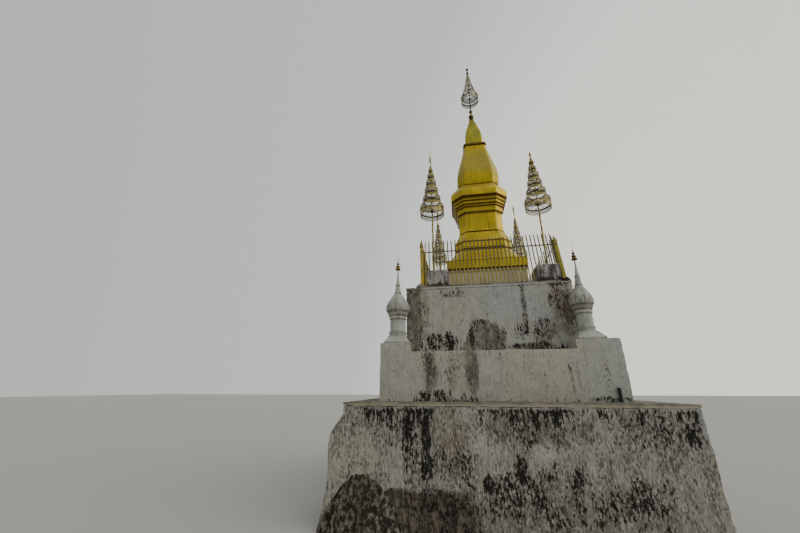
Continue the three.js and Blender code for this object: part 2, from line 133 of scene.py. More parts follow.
class Finish:
    """One material of the stupa, put together from what it reads at each place on the surface."""

    def __init__(self, name, roughness=0.9, metallic=0.0, gloss=0.5):
        self.material = bpy.data.materials.new(name)
        self.material.use_nodes = True
        self.tree = self.material.node_tree
        self.shader = self.tree.nodes["Principled BSDF"]
        self.shader.inputs["Roughness"].default_value = roughness
        self.shader.inputs["Metallic"].default_value = metallic
        self.shader.inputs["Specular IOR Level"].default_value = gloss
        self.place = self.node("ShaderNodeTexCoord", {}, {}, "Object")
        self.x, self.y, self.z = [self.node("ShaderNodeSeparateXYZ", {}, {0: self.place}, axis) for axis in range(3)]

    def node(self, kind, settings, inputs, output=0):
        made = self.tree.nodes.new(kind)
        for setting, value in settings.items():
            if setting == "stops":
                while len(made.color_ramp.elements) < len(value):
                    made.color_ramp.elements.new(1.0)
                for stop, (position, strength) in zip(made.color_ramp.elements, value):
                    stop.position = position
                    stop.color = (strength, strength, strength, 1)
            else:
                setattr(made, setting, value)
        for socket, value in inputs.items():
            if isinstance(value, Reading):
                self.tree.links.new(value.socket, made.inputs[socket])
            else:
                made.inputs[socket].default_value = value
        return Reading(self, made.outputs[output])

    def maths(self, operation, first, second=0.0):
        return self.node("ShaderNodeMath", {"operation": operation}, {0: first, 1: second})

    def grain(self, stretch, detail=4.0, rough=0.6, shift=0.0):
        """Noise at so many waves a metre along X, Y and Z"""
        placed = self.node("ShaderNodeMapping", {}, {0: self.place, 1: (shift, shift * 0.7, shift * 0.4), 3: stretch})
        return self.node("ShaderNodeTexNoise", {},
                         {"Vector": placed, "Scale": 1.0, "Detail": detail, "Roughness": rough})

    def swing(self, stretch, detail=4.0, rough=0.6, shift=0.0):
        """The same noise drawn out to swing between about -1 and 1"""
        return (self.grain(stretch, detail, rough, shift) - 0.5) * 8.0

    def cells(self, stretch):
        """Distance from the middle of the nearest cell"""
        placed = self.node("ShaderNodeMapping", {}, {0: self.place, 3: stretch})
        return self.node("ShaderNodeTexVoronoi", {"feature": "F1"}, {"Vector": placed, "Scale": 1.0})

    def step(self, value, start, end):
        """0 where the value is at start or before, 1 where it is at end or beyond"""
        return self.node("ShaderNodeMapRange", {"interpolation_type": "SMOOTHSTEP"}, {0: value, 1: start, 2: end})

    def facing(self, axis):
        """How much the surface looks along an axis"""
        normal = self.node("ShaderNodeNewGeometry", {}, {}, "Normal")
        return self.node("ShaderNodeSeparateXYZ", {}, {0: normal}, axis)

    def along(self, value, low, high, places):
        """A strength laid out along a line, from given pairs of place and strength"""
        share = self.node("ShaderNodeMapRange", {}, {0: value, 1: low, 2: high})
        stops = [((place - low) / (high - low), strength) for place, strength in places]
        return self.node("ShaderNodeValToRGB", {"stops": stops}, {0: share})

    def mixed(self, share, first, second):
        """The second colour over the first, by a share"""
        colours = [(*c, 1) if isinstance(c, tuple) else c for c in (first, second)]
        return self.node("ShaderNodeMix", {"data_type": "RGBA"}, {0: share, 6: colours[0], 7: colours[1]}, 2)

    def blot(self, middle_x, middle_z, half_width, half_height, ragged, fade=0.8, square=False):
        """1 in the middle of a round or square patch on a front wall, fading to 0 across its ragged edge"""
        across = (self.x - middle_x) / half_width
        up = (self.z - middle_z) / half_height
        far = abs(across).most(abs(up)) if square else 0.0
        return self.step((far * far if square else across * across + up * up) + ragged, 1.0 + fade, 1.0 - fade)

    def colour(self, reading):
        """Makes this the colour so far"""
        self.tone = reading
        self.tree.links.new(reading.socket, self.shader.inputs["Base Color"])

    def from_two(self, value, start, end, first, second):
        """Starts the colour: the first where the value is at start or before, the second from end on"""
        self.colour(self.mixed(self.step(value, start, end), first, second))

    def lay(self, share, hue):
        """Lays another colour over the colour so far, by a share"""
        self.colour(self.mixed(share, self.tone, hue))

    def roughen(self, reading):
        self.tree.links.new(reading.socket, self.shader.inputs["Roughness"])

    def relief(self, height, depth, strength=1.0):
        """Lets the surface look raised by a height of 0 to 1, which stands for so many metres"""
        bump = self.node("ShaderNodeBump", {}, {"Height": height, "Distance": depth, "Strength": strength})
        self.tree.links.new(bump.socket, self.shader.inputs["Normal"])


def dimmed(colour, share):
    """The colour with all its parts at a share of their strength"""
    return tuple(part * share for part in colour)


def plaster(name, wall, foot, top, face, hanging, rising, patches, bare, earth, tints, pale, cool, film, elsewhere,
            drip, lift):
    """Old limewashed plaster on a wall from foot to top whose front face is at Y = face. hanging and rising are
    pairs of X and strength for the mould under the top and over the foot. patches are single stains, with their
    black and their grey, bare are places without limewash, in two earth colours, and tints are discoloured
    places, all on the front. pale and cool are the tones of the limewash and film the thin grime over it.
    elsewhere is the share of the mould on the other sides, drip and lift are how far it hangs and rises."""
    coat = Finish(name, 0.92, gloss=0.25)
    front = coat.step(coat.y, face + 0.35, face + 0.12)
    wave = coat.swing((0.55, 0.55, 0.4), 3, 0.5, 3.0)
    clots = coat.swing((2.6, 2.6, 1.3), 5, 0.65, 23.0)
    drips = coat.swing((6.5, 6.5, 0.14), 4, 0.75, 9.0)
    fleck = coat.swing((20, 20, 8.5), 6, 0.75, 1.0)
    speck = coat.swing((26, 26, 9), 4, 0.7, 41.0)
    flake = coat.swing((23, 23, 8), 5, 0.75, 61.0)
    ragged = coat.swing((2.6, 2.6, 1.4), 5, 0.7, 5.0) * 0.5 + drips * 0.3
    broken = clots * 0.3 + fleck * 0.14

    def laid(places, wide, shift):
        """Strengths laid out along the front from the given pairs, and by a pattern on the other sides"""
        own = coat.along(coat.x, wall[0], wall[1], places)
        others = coat.step(coat.swing((wide, wide, 0.02), 3, 0.6, shift), -0.4, 0.5) * elsewhere
        return coat.mixed(front, others, own)

    below = top - coat.z
    reach = drip * (0.5 + drips * 0.65).most(0.06)
    hung = (coat.step(below, reach * 1.3, reach * 0.2) * coat.step(below + fleck * 0.04, 0.02, 0.09)
            * laid(hanging, 0.45, 7.0))
    reach = lift * (0.6 + drips * 0.35 + ragged * 0.3).most(0.1)
    risen = coat.step(coat.z - foot, reach, 0.0) * laid(rising, 0.6, 17.0)

    mould_and_rim_shadow = hung.most(risen)
    haze = mould_and_rim_shadow * 0.6
    for middle_x, middle_z, half_width, half_height, black, grey in patches:
        spot = coat.blot(middle_x, middle_z, half_width, half_height, ragged) * front
        mould_and_rim_shadow = mould_and_rim_shadow.most(spot * black)
        haze = haze.most(spot * grey)
    haze = haze.most(film * (1.0 + 0.35 * clots + 0.25 * wave))

    stripped = 0.0
    for middle_x, middle_z, half_width, half_height, strength, square in bare:
        part = coat.blot(middle_x, middle_z, half_width, half_height, broken, 0.15, square) * front * strength
        # Painted shadow: a dark line round each bare place, where the broken plaster edge would shade it. It is laid in
        # with the mould and the browning.
        rim = coat.blot(middle_x, middle_z, half_width * 1.08, half_height * 1.05, broken, 0.25, square) * front
        mould_and_rim_shadow = mould_and_rim_shadow.most((rim - part).most(0.0) * 1.05)
        stripped = part if stripped == 0.0 else part.most(stripped)

    mould = coat.step(fleck * 0.95 + clots * 0.35 + 2.1 * mould_and_rim_shadow, 1.12, 1.42)
    grey = coat.step(speck * 0.6 + fleck * 0.6 + 2.0 * haze, 1.05, 1.55)
    streaks = coat.swing((9, 9, 0.6), 5, 0.7, 13.0)
    mottle = coat.swing((3.2, 3.2, 2.2), 6, 0.7, 51.0)
    coat.from_two(wave, -0.8, 0.8, pale, cool)
    for middle_x, middle_z, half_width, half_height, strength, hue in tints:
        spot = coat.blot(middle_x, middle_z, half_width, half_height, ragged) * front * strength
        coat.lay(spot, hue)
    coat.lay(coat.step(mottle, -0.4, 1.2) * 0.35, dimmed(pale, 0.6))
    coat.lay(coat.step(streaks, 0.1, 1.3) * 0.35, dimmed(pale, 0.58))
    browned_with_rim_shadow = coat.step(mould_and_rim_shadow + haze * 0.3 + streaks * 0.15, 0.15, 1.1)
    coat.lay(browned_with_rim_shadow * 0.45, (0.145, 0.135, 0.108))
    coat.lay(coat.step(flake, 0.15, 0.75) * (0.32 + 0.9 * film), dimmed(pale, 1.42))
    coat.lay(coat.step(speck + 0.3 * streaks, 0.55, 0.95) * (1.3 * film), (0.06, 0.054, 0.043))
    coat.lay(grey * (0.6 + 0.2 * film), (0.08, 0.074, 0.059))
    fine = coat.grain((38, 38, 26), 4, 0.7, 21.0)
    height = fine * 0.45 + fleck * 0.05 - mould * 0.2
    if bare:
        crumbs = coat.swing((9, 9, 5), 6, 0.8, 33.0)
        ground = coat.mixed(coat.step(crumbs, -0.6, 0.6), earth[0], earth[1])
        ground = coat.mixed(coat.step(drips + speck * 0.3, 0.0, 0.7) * 0.8, ground, earth[0])
        ground = coat.mixed(coat.step(drips, -0.1, -0.9) * 0.5, ground, dimmed(earth[1], 0.95))
        coat.lay(stripped * 0.92, ground)
        height = height - stripped * 0.9 + crumbs * stripped * 0.12
    # The blackest layer: the mould and stains, and with them the painted shadow line round each bare place.
    coat.lay(mould * 0.97, (0.01, 0.009, 0.007))
    coat.relief(height, 0.014, 0.75)
    return coat


def added(primitive, stretch=(1, 1, 1), **sizes):
    """A primitive, stretched along its own axes, with its place and turn in its mesh"""
    bpy.ops.object.select_all(action="DESELECT")
    primitive(**sizes)
    piece = bpy.context.object
    piece.scale = [size * more for size, more in zip(piece.scale, stretch)]
    bpy.ops.object.transform_apply(location=True, rotation=True, scale=True)
    return piece


def begin(name, primitive, **sizes):
    """The start of a piece: a primitive with a name, in edit mode"""
    piece = added(primitive, **sizes)
    piece.name = name
    piece.data.name = name
    bpy.ops.object.mode_set(mode="EDIT")
    return piece


def block(name, low, high):
    """A cube stretched between two corners, in edit mode"""
    return begin(name, bpy.ops.mesh.primitive_cube_add, size=1, location=[(a + b) / 2 for a, b in zip(low, high)],
                 scale=[b - a for a, b in zip(low, high)])


def pick(kind, test):
    """Selects only the corners, edges or faces whose middle and direction pass the test"""
    bpy.ops.mesh.select_mode(type=kind)
    bpy.ops.mesh.select_all(action="DESELECT")
    mesh = bmesh.from_edit_mesh(bpy.context.object.data)
    if kind == "VERT":
        for corner in mesh.verts:
            corner.select = test(corner.co)
    elif kind == "EDGE":
        for edge in mesh.edges:
            first, second = [corner.co for corner in edge.verts]
            edge.select = test((first + second) / 2, second - first)
    else:
        for face in mesh.faces:
            face.select = test(face.calc_center_median(), face.normal)
    mesh.select_flush_mode()
    bmesh.update_edit_mesh(bpy.context.object.data)


def extruded(along_x, along_y, along_z):
    """Pulls what is selected out into new faces"""
    bpy.ops.mesh.extrude_region_move(TRANSFORM_OT_translate={"value": (along_x, along_y, along_z)})


def drawn(share_x, share_y, x=0, y=0):
    """Draws what is selected in or out, around an upright line"""
    bpy.ops.transform.resize(value=(share_x, share_y, 1), center_override=(x, y, 0))


def sawn(place, direction, **kept):
    """Cuts through the whole piece along a plane"""
    bpy.ops.mesh.select_all(action="SELECT")
    bpy.ops.mesh.bisect(plane_co=place, plane_no=direction, **kept)


def closed():
    """Turns all faces of the piece outwards"""
    bpy.ops.mesh.select_all(action="SELECT")
    bpy.ops.mesh.normals_make_consistent(inside=False)


def divided(step):
    """Cuts the faces of the piece in hand into squares of about the step"""
    for axis in range(3):
        spans = set()
        for edge in bmesh.from_edit_mesh(bpy.context.object.data).edges:
            run = edge.verts[1].co - edge.verts[0].co
            if abs(run[axis]) > 0.7 * run.length:
                spans.add(round(abs(run[axis]), 3))
        for span in sorted(spans, reverse=True):
            cuts = min(int(span / step), 100)
            if cuts:
                pick("EDGE", lambda middle, run: abs(run[axis]) > 0.7 * run.length
                     and abs(abs(run[axis]) - span) < 0.0011)
                bpy.ops.mesh.subdivide(number_cuts=cuts)


def chosen(*pieces):
    """Selects only these pieces and takes the first one in hand"""
    bpy.ops.object.select_all(action="DESELECT")
    for piece in pieces:
        piece.select_set(True)
    bpy.context.view_layer.objects.active = pieces[0]


def modified(piece, kind, **settings):
    """Gives the piece a modifier and applies it"""
    bpy.ops.object.mode_set(mode="OBJECT")
    bpy.context.view_layer.objects.active = piece
    modifier = piece.modifiers.new(kind, kind)
    for setting, value in settings.items():
        setattr(modifier, setting, value)
    bpy.ops.object.modifier_apply(modifier=modifier.name)


def worn(piece, pattern, scale, depth, group="", middle=0.5):
    """Pushes the surface in and out by a pattern, over the whole piece or over one group of its corners"""
    texture = bpy.data.textures.new("wear", pattern)
    texture.noise_scale = scale
    modified(piece, "DISPLACE", texture=texture, texture_coords="LOCAL", strength=depth, mid_level=middle,
             vertex_group=group)


def grouped(name, test):
    """Names the corners that pass the test, so that wear can be kept to them"""
    pick("VERT", test)
    bpy.ops.object.vertex_group_add()
    bpy.context.object.vertex_groups.active.name = name
    bpy.context.scene.tool_settings.vertex_group_weight = 1.0
    bpy.ops.object.vertex_group_assign()


def weathered(piece, waves, chips, test):
    """Waves over the whole skin, from pairs of scale and depth, and chips, from scale, depth and how far they eat
    inwards, along the arrises that pass the test"""
    grouped("arris", test)
    for scale, depth in waves:
        worn(piece, "CLOUDS", scale, depth)
    worn(piece, "CLOUDS", *chips[:2], "arris", chips[2])


def fitted(piece, finish, slot, *nodes, angle=35):
    """A finished piece: smooth but for its sharp edges, in its material, riding with the stupa"""
    bpy.ops.object.mode_set(mode="OBJECT")
    chosen(piece)
    bpy.ops.object.shade_smooth_by_angle(angle=radians(angle))
    piece.data.materials.clear()
    piece.data.materials.append(finish.material)
    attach(piece, "root")
    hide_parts(*nodes)


def near_edges(low, high, reach, sides=(0, 1, 2)):
    """A test for places close to where two faces of a box meet"""
    def test(co):
        close = [axis for axis in sides if min(co[axis] - low[axis], high[axis] - co[axis]) < reach]
        return len(close) > 1
    return test


def between(rows, height):
    """The size at a height, on straight lines through rows of height and size"""
    for (low, first), (high, last) in zip(rows, rows[1:]):
        if height <= high:
            return first + (last - first) * (height - low) / (high - low)
    return rows[-1][1]


def heights(test):
    """The distinct heights of the corners in hand that pass the test"""
    mesh = bmesh.from_edit_mesh(bpy.context.object.data)
    return sorted({round(corner.co.z, 4) for corner in mesh.verts if test(corner.co)})


base_low, base_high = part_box("base_tier")
APRON = [(0.0, 0.55), (0.3, 0.49), (0.62, 0.42), (0.96, 0.365), (1.35, 0.355), (1.75, 0.37), (2.05, 0.385),
         (2.25, 0.335), (2.45, 0.215), (2.62, 0.085), (2.75, 0.0)]
base_wall = block("base_wall", base_low, base_high)
sawn((0, 0, APRON[-1][0]), (0, 0, 1))
pick("FACE", lambda middle, normal: normal.x < -0.9 and middle.z < APRON[-1][0])
extruded(-APRON[0][1], 0, 0)
divided(0.095)
pick("FACE", lambda middle, normal: normal.y < -0.9 and 0.1 < middle.z < 0.95 + 0.07 * sin(5 * middle.x)
     + 0.05 * sin(17 * middle.x) and -3.5 < middle.x < -1.5 + 0.18 * sin(9 * middle.z))
extruded(0, 0.045, 0)
for height in heights(lambda co: co.x < base_low.x - 0.01):
    pick("VERT", lambda co: co.x < base_low.x - 0.001 and abs(co.z - height) < 0.001)
    drawn(max(between(APRON, height), 0.0001) / APRON[0][1], 1, base_low.x)
bpy.ops.mesh.select_all(action="SELECT")
bpy.ops.mesh.remove_doubles(threshold=0.004)
closed()
grouped("foot", lambda co: co.z < 1.1 and 0.02 < co.y - base_low.y < 0.06 and -3.5 < co.x < -1.3)
weathered(base_wall, [(1.1, 0.035), (0.22, 0.014)], (0.16, 0.06, 0.66),
          lambda co: near_edges(base_low, base_high, 0.06)(co)
          or (co.x < base_low.x - 0.1 and abs(abs(co.y) - base_high.y) < 0.06))
worn(base_wall, "VORONOI", 0.13, 0.07, "foot", 0.6)

PATCH = {"middle": -4.05, "half": 1.13, "rise": 1.4, "narrowing": 0.42}
pocket = begin("pocket", bpy.ops.mesh.primitive_circle_add, vertices=72, radius=1, fill_type="NGON",
               rotation=(pi / 2, 0, 0), location=(PATCH["middle"], base_low.y + 0.09, 0),
               scale=(PATCH["half"], PATCH["rise"], 1))
extruded(0, -0.3, 0)
for height in heights(lambda co: co.z > 0.001):
    pick("VERT", lambda co: abs(co.z - height) < 0.0005)
    drawn(1 - PATCH["narrowing"] * height / PATCH["rise"], 1, PATCH["middle"], base_low.y)
closed()
worn(pocket, "CLOUDS", 0.12, 0.04)
modified(base_wall, "BOOLEAN", operation="DIFFERENCE", solver="EXACT", object=pocket)
bpy.data.objects.remove(pocket)

base_plaster = plaster(
    "base_plaster", (-5.3, 4.3), 0.0, base_high.z, base_low.y,
    hanging=[(-4.6, 0.1), (-4.2, 0.35), (-3.97, 0.85), (-3.3, 0.85), (-3.2, 0.45), (-2.98, 0.5), (-2.9, 0.95),
             (-2.2, 0.95), (-2.1, 0.2), (-1.05, 0.25), (-0.88, 0.95), (0.32, 0.92), (0.45, 0.65), (0.55, 0.95),
             (1.28, 0.92), (1.5, 0.45), (1.8, 0.65), (2.1, 0.65), (2.3, 0.35), (2.75, 0.42), (2.85, 0.75),
             (3.05, 0.7), (3.2, 0.42), (3.3, 0.7), (3.45, 0.35), (3.65, 0.8), (4.08, 0.85), (4.18, 0.1)],
    rising=[(-5.2, 0.15), (-4.6, 0.2), (-3.2, 0.45), (-1.4, 0.5), (-1.2, 0.62), (0.2, 0.62), (1.5, 0.56), (2.6, 0.6),
            (3.4, 0.48), (4.2, 0.3)],
    patches=[(-2.36, 2.0, 0.13, 0.95, 0.88, 0.9), (-2.3, 1.55, 0.2, 0.4, 0.92, 0.8),
             (-2.78, 2.05, 0.24, 1.0, 0.62, 0.7), (-2.8, 2.45, 0.18, 0.4, 0.78, 0.7),
             (-3.25, 2.35, 0.2, 0.35, 0.5, 0.6), (-2.0, 1.5, 0.28, 0.5, 0.48, 0.65),
             (-1.5, 1.55, 0.4, 0.5, 0.33, 0.62), (-0.84, 1.2, 0.16, 0.2, 0.85, 0.5),
             (-0.58, 1.32, 0.15, 0.17, 0.75, 0.5), (-0.05, 1.42, 0.18, 0.42, 0.82, 0.5),
             (-0.4, 1.05, 0.8, 0.4, 0.6, 0.6), (0.62, 1.48, 0.22, 0.32, 0.62, 0.6), (1.28, 1.38, 0.2, 0.28, 0.6, 0.6),
             (0.6, 0.9, 2.8, 0.5, 0.52, 0.6), (2.7, 1.0, 0.8, 0.4, 0.54, 0.5), (3.92, 2.4, 0.18, 0.42, 0.7, 0.6),
             (2.25, 2.18, 0.28, 0.05, 0.62, 0.4), (0.4, 2.45, 1.9, 0.45, 0.38, 0.8), (3.1, 2.4, 1.0, 0.5, 0.37, 0.7),
             (-3.4, 2.5, 0.8, 0.35, 0.38, 0.7), (-2.3, 0.72, 1.0, 0.3, 0.52, 0.6)],
    bare=[(-2.62, 0.34, 1.16, 0.62, 0.92, True), (-1.55, 0.3, 0.5, 0.5, 0.8, False)],
    earth=((0.009, 0.007, 0.005), (0.165, 0.13, 0.086)),
    tints=[(-4.3, 1.9, 0.75, 1.2, 0.7, (0.368, 0.356, 0.285)), (-0.95, 2.15, 0.28, 0.4, 0.6, (0.44, 0.415, 0.35)),
           (0.55, 1.9, 0.5, 0.3, 0.6, (0.44, 0.415, 0.36)), (1.95, 2.3, 0.35, 0.35, 0.4, (0.41, 0.385, 0.34)),
           (-1.75, 2.3, 0.42, 0.75, 0.7, (0.225, 0.205, 0.148)), (0.0, 2.1, 0.3, 0.4, 0.5, (0.21, 0.195, 0.15)),
           (-1.6, 2.15, 0.15, 0.13, 0.8, (0.2, 0.095, 0.072)), (-1.75, 1.8, 0.35, 0.45, 0.55, (0.2, 0.15, 0.11)),
           (4.12, 2.5, 0.14, 0.6, 0.8, (0.29, 0.3, 0.285)), (3.95, 1.1, 0.35, 0.7, 0.5, (0.3, 0.26, 0.22)),
           (0.8, 0.4, 3.4, 0.9, 0.7, (0.19, 0.178, 0.15)), (-1.9, 2.7, 0.3, 0.5, 0.5, (0.27, 0.245, 0.18))],
    pale=(0.338, 0.318, 0.275), cool=(0.304, 0.294, 0.268), film=0.52, elsewhere=0.8, drip=0.8, lift=1.1)
fitted(base_wall, base_plaster, "plaster", "base_tier", "side_apron", angle=50)


# The rubble behind the fallen plaster: stones and mud mortar that slump out at the foot of the wall.
# Brown-black where it stays wet, with some moss down the middle. Single stones stand out of the slope.
def again(piece, name):
    """A copy of the piece, with a mesh of its own"""
    copy = piece.copy()
    copy.data = piece.data.copy()
    copy.name = name
    bpy.context.collection.objects.link(copy)
    return copy


def joined(name, *parts):
    """Joins parts into one piece"""
    chosen(*parts)
    bpy.ops.object.join()
    parts[0].name = name
    parts[0].data.name = name
    return parts[0]


BANDS = 40
heap_rise = PATCH["rise"] * 1.01
heap = begin("heap", bpy.ops.mesh.primitive_uv_sphere_add, segments=96, ring_count=64, radius=1,
             rotation=(pi / 2, 0, 0), location=(PATCH["middle"], base_low.y, 0),
             scale=(PATCH["half"] * 1.01, heap_rise, 0.4))
sawn((0, 0, 0), (0, 0, 1), clear_inner=True, use_fill=True)
sawn((0, base_low.y + 0.04, 0), (0, 1, 0), clear_outer=True, use_fill=True)
for band in range(BANDS):
    low, high = [heap_rise * (band + side) / BANDS for side in (0, 1)]
    share = (low + high) / 2 / PATCH["rise"]
    pick("VERT", lambda co: low < co.z <= high + (0.05 if band == BANDS - 1 else 0))
    drawn(1 - PATCH["narrowing"] * share, (1 - share) / max(sqrt(1 - min(share, 1) ** 2), 0.05),
          PATCH["middle"], base_low.y)
bpy.ops.mesh.select_all(action="SELECT")
bpy.ops.transform.translate(value=(0, 0.02, 0))
worn(heap, "VORONOI", 0.11, 0.025, middle=0.6)
worn(heap, "CLOUDS", 0.06, 0.02)

coat = Finish("rubble_stone", 0.97, gloss=0.2)
lumps = coat.cells((10, 10, 6))
wet = coat.grain((10, 10, 6.5), 6, 0.8)
mossy = coat.step(abs(coat.x - PATCH["middle"] - 0.05) + (wet - 0.5) * 1.6, 0.42, 0.05)
coat.from_two(wet, 0.44, 0.6, (0.016, 0.014, 0.01), (0.23, 0.205, 0.16))
coat.lay(mossy * 0.45, (0.048, 0.052, 0.024))
coat.lay(coat.step(lumps, 0.5, 0.8) * 0.7, (0.01, 0.009, 0.008))
coat.relief(wet * 0.6 - lumps * 0.6, 0.05)

first_stone = begin("stone", bpy.ops.mesh.primitive_ico_sphere_add, subdivisions=2, radius=0.5)
worn(first_stone, "CLOUDS", 0.35, 0.3)
chance = random.Random(4)
seats = [v.co.copy() for v in heap.data.vertices if v.co.y < base_low.y - 0.02 and 0.06 < v.co.z < 1.1]
stones = []
for index in range(70):
    stone = again(first_stone, "stone")
    size = chance.uniform(0.04, 0.11)
    stone.scale = (size * 1.1, size * 0.6, size * 1.3)
    stone.rotation_euler = [chance.uniform(-0.6, 0.6) for _ in range(3)]
    stone.location = chance.choice(seats) + Vector((0, 0.02, 0))
    stones.append(stone)
bpy.data.objects.remove(first_stone)
rubble = joined("rubble_slope", heap, *stones)
fitted(rubble, coat, "rubble", "rubble_patch", angle=60)


# The coping of the base tier, a thin slab of lime mortar that closes its top and stands a little proud.
# Its edge is pale and broken; its top, where rain stands, is grey with grime.
coping_low, coping_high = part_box("base_coping")
coping = block("coping", coping_low, coping_high)
divided(0.1)
weathered(coping, [(1.1, 0.02)], (0.13, 0.035, 0.6), near_edges(coping_low, coping_high, 0.03))
coat = Finish("coping_mortar", 0.94, gloss=0.2)
grime = coat.grain((3.5, 3.5, 3.5), 5, 0.7)
flat_top = coat.step(coat.z, coping_high.z - 0.03, coping_high.z - 0.005)
coat.from_two(coat.z, 2.975, 2.99, (0.42, 0.39, 0.315), (0.315, 0.28, 0.205))
coat.lay(coat.step(grime, 0.46, 0.64) * 0.45, (0.16, 0.145, 0.11))
coat.lay(flat_top * coat.step(grime, 0.3, 0.6), (0.1, 0.097, 0.082))
coat.relief(coat.grain((22, 22, 22), 5, 0.7), 0.012)
fitted(coping, coat, "plaster", "base_coping", angle=50)


# The second tier with the block at each of its corners, all one mass under one coat of whitewash.
# Rain has washed two broad grey runs and many thin ones down its front; the corner blocks are newer and clean.
second_low, second_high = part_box("second_tier")
left_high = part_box("corner_block_front_left")[1]
right_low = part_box("corner_block_front_right")[0]
second_wall = block("second_wall", second_low, second_high)
for place, direction in [((left_high.x, 0, 0), (1, 0, 0)), ((right_low.x, 0, 0), (1, 0, 0)),
                         ((0, left_high.y, 0), (0, 1, 0)), ((0, -left_high.y, 0), (0, 1, 0))]:
    sawn(place, direction)
pick("FACE", lambda middle, normal: normal.z > 0.9 and abs(middle.y) > -left_high.y
     and not left_high.x < middle.x < right_low.x)
extruded(0, 0, left_high.z - second_high.z)
divided(0.08)
outer_high = Vector((second_high.x, second_high.y, left_high.z))
weathered(second_wall, [(0.9, 0.026), (0.2, 0.008)], (0.12, 0.03, 0.6),
          lambda co: near_edges(second_low, outer_high, 0.04)(co)
          or (left_high.x + 0.05 < co.x < right_low.x - 0.05 and near_edges(second_low, second_high, 0.03)(co)))
second_plaster = plaster(
    "second_plaster", (-3.9, 3.3), second_low.z, second_high.z, second_low.y,
    hanging=[(-3.8, 0.02), (-2.95, 0.05), (-2.7, 0.3), (-2.3, 0.45), (-1.9, 0.25), (-1.3, 0.35), (-0.8, 0.4),
             (-0.4, 0.28), (0.3, 0.25), (1.2, 0.2), (1.9, 0.15), (2.06, 0.0), (3.2, 0.02)],
    rising=[(-3.8, 0.1), (-2.9, 0.15), (-2.75, 0.62), (-1.3, 0.66), (-0.9, 0.6), (-0.5, 0.3), (0.4, 0.32),
            (1.2, 0.28), (2.2, 0.28), (3.2, 0.45)],
    patches=[(-2.26, 3.85, 0.22, 0.62, 0.16, 0.6), (-2.3, 4.3, 0.25, 0.25, 0.25, 0.6),
             (-1.02, 3.85, 0.18, 0.66, 0.16, 0.6), (-1.72, 3.6, 0.06, 0.5, 0.26, 0.5),
             (-1.52, 3.9, 0.04, 0.5, 0.22, 0.5), (-2.2, 3.22, 0.6, 0.18, 0.66, 0.8),
             (1.05, 3.7, 0.04, 0.3, 0.35, 0.5), (1.75, 3.75, 0.05, 0.4, 0.35, 0.45),
             (2.6, 3.12, 0.6, 0.08, 0.62, 0.5), (2.72, 3.9, 0.08, 0.6, 0.2, 0.45), (-1.7, 4.0, 1.2, 0.6, 0.1, 0.36),
             (0.7, 3.9, 0.9, 0.6, 0.1, 0.28)],
    bare=[], earth=(),
    tints=[(-1.35, 3.8, 0.45, 0.9, 0.5, (0.42, 0.362, 0.285)), (0.9, 3.8, 1.0, 0.8, 0.4, (0.46, 0.425, 0.325)),
           (2.75, 3.9, 0.62, 1.5, 0.9, (0.385, 0.395, 0.37)), (-3.45, 3.9, 0.5, 1.5, 0.9, (0.395, 0.39, 0.345)),
           (-2.26, 3.85, 0.21, 0.66, 0.95, (0.1, 0.094, 0.07)), (-1.02, 3.85, 0.19, 0.7, 0.9, (0.105, 0.098, 0.074)),
           (-1.62, 3.75, 0.1, 0.5, 0.5, (0.2, 0.18, 0.14)), (1.95, 3.75, 0.05, 0.45, 0.5, (0.23, 0.2, 0.155))],
    pale=(0.425, 0.402, 0.326), cool=(0.398, 0.392, 0.35), film=0.12, elsewhere=0.5, drip=0.7, lift=0.4)
fitted(second_wall, second_plaster, "plaster", "second_tier", "corner_block_front_left", "corner_block_front_right",
       "corner_block_back_left", "corner_block_back_right", angle=50)


# The drain pipe, a short end of dark plastic pipe stood against the foot of the second tier.
# It is open at the top, with a thin wall, and its rim is scuffed pale.
def centre(node):
    """Where the middle of a node stands, seen from above"""
    low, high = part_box(node)
    return (low.x + high.x) / 2, (low.y + high.y) / 2


pipe_low, pipe_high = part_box("drain_pipe")
drain = begin("drain", bpy.ops.mesh.primitive_cylinder_add, vertices=32, radius=0.044, depth=pipe_high.z - pipe_low.z,
              location=(*centre("drain_pipe"), (pipe_low.z + pipe_high.z) / 2))
pick("FACE", lambda middle, normal: normal.z > 0.9)
bpy.ops.mesh.inset(thickness=0.006)
extruded(0, 0, -0.3)
coat = Finish("drain_plastic", 0.6)
scuff = coat.grain((30, 30, 12), 4, 0.7)
rim = coat.step(coat.z, pipe_high.z - 0.03, pipe_high.z)
coat.from_two(scuff + rim * 0.2, 0.55, 0.75, (0.012, 0.012, 0.012), (0.1, 0.1, 0.095))
coat.roughen(0.45 + scuff * 0.4)
fitted(drain, coat, "dark_pipe", "drain_pipe")


# The third tier and the thin cap on it, one plastered mass.
# Its left edge is bare and brown, grey runs and moss come down at the right, and a rounded patch at the
# middle of its foot has lost its limewash.
def rung(rise, left, right, front, back):
    """Extrudes the selected rectangle upwards and draws its sides to new places"""
    mesh = bmesh.from_edit_mesh(bpy.context.object.data)
    now = [v.co for v in mesh.verts if v.select]
    low_x, high_x = min(c.x for c in now), max(c.x for c in now)
    low_y, high_y = min(c.y for c in now), max(c.y for c in now)
    extruded(0, 0, rise - max(c.z for c in now))
    drawn((right - left) / (high_x - low_x), (back - front) / (high_y - low_y), (low_x + high_x) / 2,
          (low_y + high_y) / 2)
    bpy.ops.transform.translate(value=((left + right - low_x - high_x) / 2, (front + back - low_y - high_y) / 2, 0))


